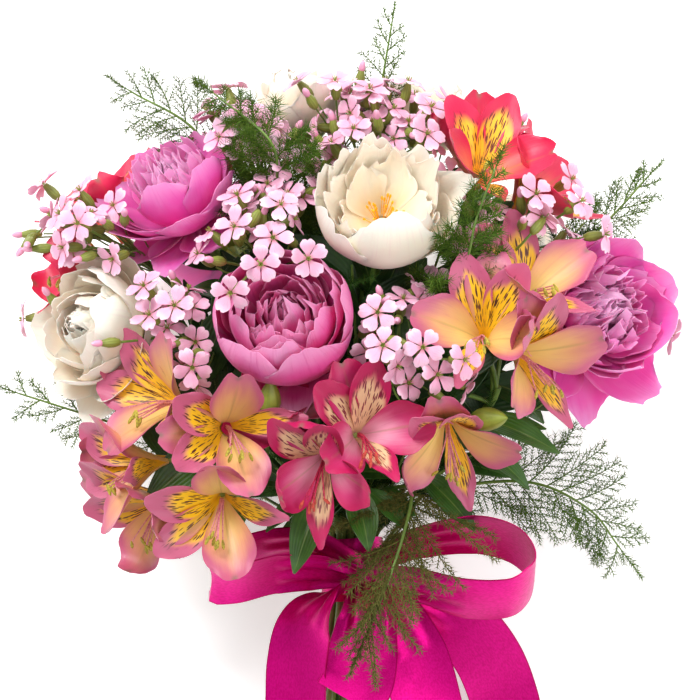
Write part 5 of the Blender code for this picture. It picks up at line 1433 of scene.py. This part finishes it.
def add_front_leaves(shape, rng, name):
    for root, tip, width, face in FRONT_LEAVES.get(name, ()):
        reach = Vector(tip) - Vector(root)
        at = leaf_frame(root, reach.normalized(), face)
        at = at @ Matrix.Rotation(math.radians(FRONT_BEND / 2), 4, "X")
        add_leaf(shape, rng, at, reach.length, width, FRONT_BEND, 1)


FILL_LEAF_STEP = 15.0
FILL_LEAF_FROM = 46.0
FILL_LEAF_END = 14.0
FILL_LEAF_TRIES = 10


def add_fill_leaves(shape, rng, line, broad):
    """Dark leaves up a stem, each where it clears the blooms."""
    y = FILL_LEAF_FROM + rng.uniform(0, 8)
    while y < line[-1, 1] - FILL_LEAF_END:
        for _ in range(FILL_LEAF_TRIES):
            outward = unit((line[-1, 0] * rng.uniform(-0.4, 1.4), 60, line[-1, 2] * 0.4))
            loose = any_way(rng, (-0.9, 0.9), (-0.3, 0.4), (-0.2, 0.7))
            face = (*any_way(rng, (-0.3, 0.3), (-0.3, 0.5)), 1.0)
            at = leaf_on(line, y, unit(outward + loose), face, 0)
            length = rng.uniform(36, 58)
            width = length * (rng.uniform(0.36, 0.46) if broad else rng.uniform(0.22, 0.30))
            bend = rng.uniform(10, 45)
            if is_leaf_clear(at, length, width, bend):
                add_leaf(shape, rng, at, length, width, bend, 3)
                break
        y += FILL_LEAF_STEP * rng.uniform(0.7, 1.3)


def add_bud(shape, line, y, tip, facing, length, radius):
    """A closed green bud on its shoot."""
    facing = unit(facing)
    base = np.array(tip, float) - facing * length
    shoot = curve_between(on_line(line, y), facing + (0, 0.5, 0), base + facing, facing, 12)
    rod(shape, shoot, 1.1, 8)
    s = np.linspace(0, 1, 9)
    swell = radius * np.sin(math.pi * s**0.8) ** 0.8 + 0.5
    rod(shape, base + facing * (s[:, None] * length), swell, 14, paint=2)


def finish_stem(shape, rng, name, line, broad, ending):
    """Gives the stem its leaves and buds and makes it a piece."""
    node = name + "_stem"
    add_leaves(shape, rng, name, line, cad_tree(node))
    add_front_leaves(shape, rng, name)
    add_fill_leaves(shape, rng, line, broad)
    for bud in BUDS.get(name, ()):
        add_bud(shape, line, *bud)
    piece(name + ending, shape, STEM_PAINTS, [node])


SEPALS = 5
SEPAL_GRID = (7, 7)
CUP_HEIGHTS = (-7, -5, -2, 0.4)
CUP_RADII = (2.8, 4.0, 4.6, 2.0)
CUP = 5.4  # how far under its seat a peony's stem ends in the cup


def add_sepals(shape, rng, at, radius):
    """The green cup under a peony, with its sepals."""
    for k in range(SEPALS):
        grid = petal_grid(rng, *SEPAL_GRID, (1.5, -3.0), radius * 0.50, radius * 0.42, (5, 60, 0),
                          (radius * 0.5, radius * 0.5), 0.3, 0.02)
        turn = spun(360 / SEPALS * k + rng.uniform(-8, 8))
        spots = grid_spots(*SEPAL_GRID, rng.random())
        shell(shape, grid, LEAF_THICK, spots, (0, 0.2, 0), 2, at @ turn)
    rod(shape, upright(CUP_HEIGHTS), CUP_RADII, 10, paint=2, place=at)


def build_peony_stem(name):
    rng = random.Random(name + " stem")
    place, radius = bloom_place(name)
    seat = np.array(place.translation)
    facing = unit(PEONIES[name][1])
    end = seat - facing * CUP
    line = centreline(name + "_stem", PEONY_STEM / 2, end[1] - 2.0)
    line = np.concatenate([line, [end, seat - facing * 1.0]])
    shape = Shape()
    stem(shape, line, PEONY_STEM, 12)
    add_sepals(shape, rng, place, radius)
    finish_stem(shape, rng, name, line, True, "_stalk")


OVARY = 9.0  # length of the swelling under a lily


def build_lily_stem(name):
    rng = random.Random(name + " stem")
    fork, _, flowers = LILIES[name]
    line = centreline(name + "_stem", LILY_STEM / 2, fork[1])
    shape = Shape()
    stem(shape, line, LILY_STEM, 12)
    along = unit(line[-1] - line[-4])
    for i, (throat, facing, _) in enumerate(flowers, 1):
        facing = unit(facing)
        low = np.array(throat, float) - facing * (LILY_THROAT - 1.0) - facing * OVARY
        root = line[-1] - along * (ROOT_STEP * (i - 0.5))
        rod(shape, curve_between(root, unit(low - root) + along * 0.5, low + facing, facing, 12), 1.3, 8)
        s = np.linspace(0, 1, 6)
        rod(shape, low + facing * (s[:, None] * OVARY), (1.3, 2.4, 3.2, 3.4, 3.0, 2.0), 10, paint=2)
    finish_stem(shape, rng, name, line, False, "_stalks")


# Foliage between the flowers

# Where the fronds that fill the gaps end, after the tie
FILL_FRONDS = (
    (-69, 124, 22), (-39, 208, 22), (-21, 96, 46), (30, 138, 52), (50, 108, 50), (56, 168, 36), (106, 92, 26),
    (-122, 160, 2), (-46, 168, 44), (92, 180, 20), (128, 190, -4), (-30, 236, 4), (6, 240, 2), (50, 232, -6),
    (78, 70, 30), (-90, 92, 24), (-6, 160, 46), (-66, 230, 0), (70, 206, 14), (-20, 210, 20),
)
FILL_FERN_SPREAD = 30.0
FILL_BRANCHES = 12
FILL_NEEDLE = 6.0
FILL_FROM = 0.45  # share of a frond's length with no branches

# Where the leafy shoots that back the gaps end, after the tie
SHOOTS = (
    (-74, 134, 24), (-86, 104, 26), (-100, 62, 20), (-140, 168, -2), (54, 192, 34), (44, 108, 44),
    (0, 166, 34), (86, 118, 20), (-8, 112, 52), (120, 172, 0),
)
SHOOT_LEAVES = 5
SHOOT_STEP = 2  # points of the stalk's line from one leaf to the next


def deep_stalk(shape, rng, end, out, share, bow, below, step, thick, paint):
    """A stalk that passes the tie this far out from the axis and ends deep in the bouquet."""
    turn = rng.uniform(0, math.tau)
    foot = np.array((math.cos(turn), 0, math.sin(turn))) * out
    middle = foot * 0.6 + np.array(end, float) * share + bow
    line = even(smooth_curve([foot - (0, below, 0), foot, middle, end], 10), step)
    rod(shape, line, np.linspace(*thick, len(line)), 6, paint=paint)
    return line


def build_shoot(i, end):
    """A leafy shoot deep in the bouquet, with broad dark leaves near its end."""
    rng = random.Random(f"shoot {i}")
    shape = Shape()
    line = deep_stalk(shape, rng, end, 8.0, 0.40, (0, 10, -4), 50, 4.0, (1.3, 0.7), 0)
    for k in range(SHOOT_LEAVES):
        swing = math.radians(rng.uniform(30, 70) * (1 if k % 2 else -1))
        ahead = Vector(unit(line[-1] - line[-4])) + Vector((0, 0, rng.uniform(-0.1, 0.3)))
        ahead = Matrix.Rotation(swing, 3, "Z") @ ahead.normalized()
        face = (*any_way(rng, (-0.3, 0.3), (-0.2, 0.4)), 1.0)
        at = leaf_frame(line[len(line) - 2 - SHOOT_STEP * k], ahead, face)
        length, bend = rng.uniform(40, 54), rng.uniform(10, 40)
        width = length * rng.uniform(0.40, 0.52)
        if is_leaf_clear(at, length, width, bend):
            add_leaf(shape, rng, at, length, width, bend, 1)
    piece(f"leaf_shoot_{i}", shape, ("stalk", "shade_leaf"))


def build_fill_fern(i, end):
    """A dark frond deep in the bouquet, with soft bushy branches."""
    rng = random.Random(f"fill {i}")
    shape = Shape()
    line = deep_stalk(shape, rng, end, 9.0, 0.36, (0, 12, 0), 60, 3.0, (1.1, 0.5), 1)
    roots, tips = [], []
    for k in range(FILL_BRANCHES):
        t = FILL_FROM + (1 - FILL_FROM) * (k + 0.5) / FILL_BRANCHES
        at = int(t * (len(line) - 1))
        ahead = way_at(line, at, 1)
        aside = unit(np.cross(ahead, (rng.gauss(0, 1), rng.gauss(0, 1), rng.gauss(0, 1))))
        way = unit(ahead * rng.uniform(0.3, 0.8) + aside + (0, 0, 0.25))
        twig = line[at] + way * (FILL_FERN_SPREAD * rng.uniform(0.6, 1.1)) * np.linspace(0, 1, 6)[:, None]
        if is_clear(twig):
            rod(shape, twig, 0.3, 3)
            more_roots, more_tips = needles_on(rng, twig, 1.2, FILL_NEEDLE, 4, 0.9)
            roots += more_roots
            tips += more_tips
    if roots:
        spikes(shape, roots, tips, 0.26, (0, rng.uniform(0, 0.7), 0))
    piece(f"fern_fill_{i}", shape, ("shade_needle", "stalk"))


# Ribbon

# Name: points of the middle line, the way that its width lies at the first and at the last, and whether it
# comes back to the knot
BOW = {
    "loop_right": (
        ((9, 3, 26), (36, 16, 32), (66, 20, 35), (88, 14, 37), (97, 0, 41), (86, -13, 45),
         (60, -14, 43), (34, -8, 37), (9, -3, 29)),
        (0.0, 0.55, 0.83), (0.0, 0.62, 0.78), True,
    ),
    "loop_left": (
        ((3, 3, 26), (-22, 13, 31), (-48, 12, 33), (-70, 4, 36), (-77, -5, 40), (-62, -6, 44),
         (-40, -1, 43), (-18, 0, 37), (3, -3, 29)),
        (0.0, 0.55, 0.83), (0.1, 0.6, 0.78), True,
    ),
    "tail_left": (
        ((2, -5.5, 28.5), (-13, -13, 36.5), (-25, -28, 38), (-30, -50, 37), (-31, -76, 36),
         (-36, -104, 35), (-46, -128, 30)),
        (0.7, 0.5, 0.5), (0.95, -0.1, 0.5), False,
    ),
    "tail_middle": (
        ((5, -7, 29.5), (8, -24, 38), (6, -42, 42), (4, -57, 46), (-2, -68, 49)),
        (0.9, 0.0, 0.3), (0.75, -0.6, 0.1), False,
    ),
    "tail_centre": (
        ((9, -6, 28), (22, -24, 34), (33, -46, 34), (40, -68, 33), (45, -92, 31), (46, -116, 28)),
        (0.9, 0.3, 0.2), (0.95, 0.1, -0.45), False,
    ),
    "tail_right": (
        ((11, -4, 27), (36, -14, 30), (58, -28, 22), (74, -48, 6), (84, -72, -14), (90, -98, -30),
         (98, -124, -33)),
        (0.5, 0.75, 0.4), (0.95, 0.25, 0.1), False,
    ),
}
WIDTH_SHARES = (0.36, 0.85, 1.0)  # of the ribbon's width, at the first points from the knot
SATIN_THICK = 0.7
PLEATS = 3
PLEAT_DEPTH = 2.6
BELLY = 1.6
STRIP_COLUMNS = 17
STRIP_STEP = 2.0


def satin_piece(name, grid, own, node):
    shape = Shape()
    shell(shape, grid, SATIN_THICK, grid_spots(*grid.shape[:2], own))
    return piece(name, shape, ("satin",), [node])


def strip_grid(points, first_across, last_across, comes_back):
    """A length of ribbon along the points, gathered in pleats at the knot, and how long it is."""
    line = smooth_curve(points, 12)
    last = len(points) - 1
    share_at = [WIDTH_SHARES[min(min(i, last - i) if comes_back else i, 2)] for i in range(last + 1)]
    share = np.interp(np.linspace(0, last, len(line)), np.arange(last + 1), share_at)
    gone = distances(line)
    line = even(line, STRIP_STEP)
    share = np.interp(np.linspace(0, gone[-1], len(line)), gone, share)
    along = unit(np.gradient(line, axis=0))
    t, u = grid_axes(len(line), STRIP_COLUMNS)
    across = np.array(first_across, float) * (1 - t) + np.array(last_across, float) * t
    across = unit(across - along * (across * along).sum(1, keepdims=True))
    normal = np.cross(across, along)
    u = u[..., None]
    fold = np.sqrt(np.maximum(0, 1 - share**2))[:, None, None]
    pleat = np.cos(u * PLEATS * math.pi) * fold * PLEAT_DEPTH
    belly = (1 - u**2) * BELLY * (1 - fold)
    side = u * (share[:, None, None] * RIBBON_WIDTH / 2)
    return line[:, None] + across[:, None] * side + normal[:, None] * (pleat + belly), gone[-1]


def build_strip(name, *row):
    grid, length = strip_grid(*row)
    made = satin_piece("ribbon_" + name, grid, 0.3, "ribbon_bow")
    area = RIBBON_WIDTH * MM * length * MM
    length * MM


ROUND = math.tau * (1 - 1e-4)  # a turn that just doesn't close
CAD_BAND_SIDES = 20  # the CAD band's inside is a ring of this many flat faces
BAND_GRID = (15, 97)


def build_band():
    """The ribbon wound round the stems under the bow."""
    corners = cad_points("ribbon_band")
    out = np.hypot(corners[:, 0], corners[:, 2])
    inner = out.min() * math.cos(math.pi / CAD_BAND_SIDES)
    outer = out.max()
    height = corners[:, 1].max() - corners[:, 1].min()
    rows, columns = BAND_GRID
    v = np.linspace(-0.5, 0.5, rows)[:, None]
    turn = np.linspace(0, ROUND, columns)[None, :]
    creases = 0.35 * np.sin(v * 22 + np.sin(turn * 2) * 1.4) + 0.15 * np.sin(v * 47 + turn * 3)
    r = (inner + outer) / 2 + creases
    y = v * height + 0.8 * np.sin(turn * 2)
    grid = grid_of(r * np.sin(turn), y, r * np.cos(turn))
    made = satin_piece("ribbon_wrap", grid, 0.6, "ribbon_band")
    height * MM
    return outer


KNOT = (6.0, 0.0)  # across and up, of its middle
KNOT_HALF = (11.0, 13.0, 6.5)
KNOT_GAP = 0.4
KNOT_GRID = (15, 65)


def build_knot(outer):
    """The turn of ribbon that ties the loops and tails, drawn in and creased."""
    front = outer + KNOT_GAP + KNOT_HALF[2]
    rows, columns = KNOT_GRID
    v = np.linspace(-1, 1, rows)[:, None]
    turn = np.linspace(0, ROUND, columns)[None, :]
    waist = 1 - 0.30 * (1 - v**2) ** 2 + 0.05 * np.sin(v * 14)
    y = KNOT_HALF[1] * np.cos(turn) * waist
    z = KNOT_HALF[2] * np.sin(turn) * (1.1 - 0.1 * waist)
    x = v * KNOT_HALF[0] * (1 + 0.1 * np.sin(turn * 2))
    grid = grid_of(KNOT[0] + x, KNOT[1] + y, front + z)
    made = satin_piece("ribbon_knot", grid, 0.9, "ribbon_bow")


# Studio

VIEW_DISTANCE = 2.2  # in metres
PHOTO_SPAN = 378.0  # what the photo shows from side to side, at the bouquet's front
PHOTO_MIDDLE = (-1.08, 119.9)  # x and y in the middle of the photo
SENSOR = 36.0
FRONT_DEPTH = 40.0  # how far the front lies before the tie

# Name: place, size, watts
LIGHTS = {
    "key": ((-1.1, 1.1, 1.8), 0.9, 44),
    "back": ((0.7, 1.7, 1.3), 0.8, 18),
    "fill": ((1.5, -0.9, 1.6), 1.6, 22),
    "top": ((0.2, 0.2, 2.6), 2.2, 12),
}
LIT = Vector((0, 0, 0.1))  # what the lights look at
WORLD_LIGHT = 0.46
FLOOR_HALF = 6
FLOOR_DEPTH = -0.001
FLOOR_GREY = 0.92
FLOOR_GLOW = 0.42


def build_camera():
    data = bpy.data.cameras.new("camera")
    data.sensor_width = SENSOR
    data.lens = SENSOR * (VIEW_DISTANCE / MM - FRONT_DEPTH) / PHOTO_SPAN
    data.clip_end = 20.0
    laid = TO_WORLD.to_3x3().normalized().to_4x4()
    laid.translation = TO_WORLD @ Vector((*PHOTO_MIDDLE, VIEW_DISTANCE / MM))
    made = add_object("camera", data)
    made.matrix_world = laid
    bpy.context.scene.camera = made


def build_light(name, place, size, watts):
    data = bpy.data.lights.new(name, "AREA")
    data.shape = "DISK"
    data.size = size
    data.energy = watts
    made = add_object(name, data)
    made.location = place
    made.rotation_euler = (Vector(place) - LIT).to_track_quat("Z", "Y").to_euler()


def build_studio():
    build_camera()
    for name, row in LIGHTS.items():
        build_light(name, *row)
    world = bpy.data.worlds.new("studio")
    world.use_nodes = True
    inputs = world.node_tree.nodes["Background"].inputs
    inputs["Color"].default_value = (1, 1, 1, 1)
    inputs["Strength"].default_value = WORLD_LIGHT
    bpy.context.scene.world = world
    bpy.context.scene.view_settings.view_transform = "Standard"
    mesh = bpy.data.meshes.new("floor")
    corners = [(x * FLOOR_HALF, y * FLOOR_HALF, FLOOR_DEPTH) for x, y in ((-1, -1), (1, -1), (1, 1), (-1, 1))]
    mesh.from_pydata(corners, [], [(0, 1, 2, 3)])
    glow = {"Emission_Color": (1, 1, 1, 1), "Emission_Strength": FLOOR_GLOW}
    mesh.materials.append(Tree("floor").finish((FLOOR_GREY, FLOOR_GREY, FLOOR_GREY, 1), 0.8, **glow))
    floor = add_object("floor", mesh)


def main():
    build_studio()
    for name in PEONIES:
        build_peony(name)
        build_peony_stem(name)
    for name in LILIES:
        build_lily(name)
        build_lily_stem(name)
    petals = petals_tree()
    for name in SPRAYS:
        build_spray(name, petals)
    for name in SPRIGS:
        build_sprig(name, petals)
    for name in FERNS:
        build_fern(name)
    for i, end in enumerate(FILL_FRONDS):
        build_fill_fern(i, end)
    for i, end in enumerate(SHOOTS):
        build_shoot(i, end)
    outer = build_band()
    build_knot(outer)
    for name, row in BOW.items():
        build_strip(name, *row)


main()
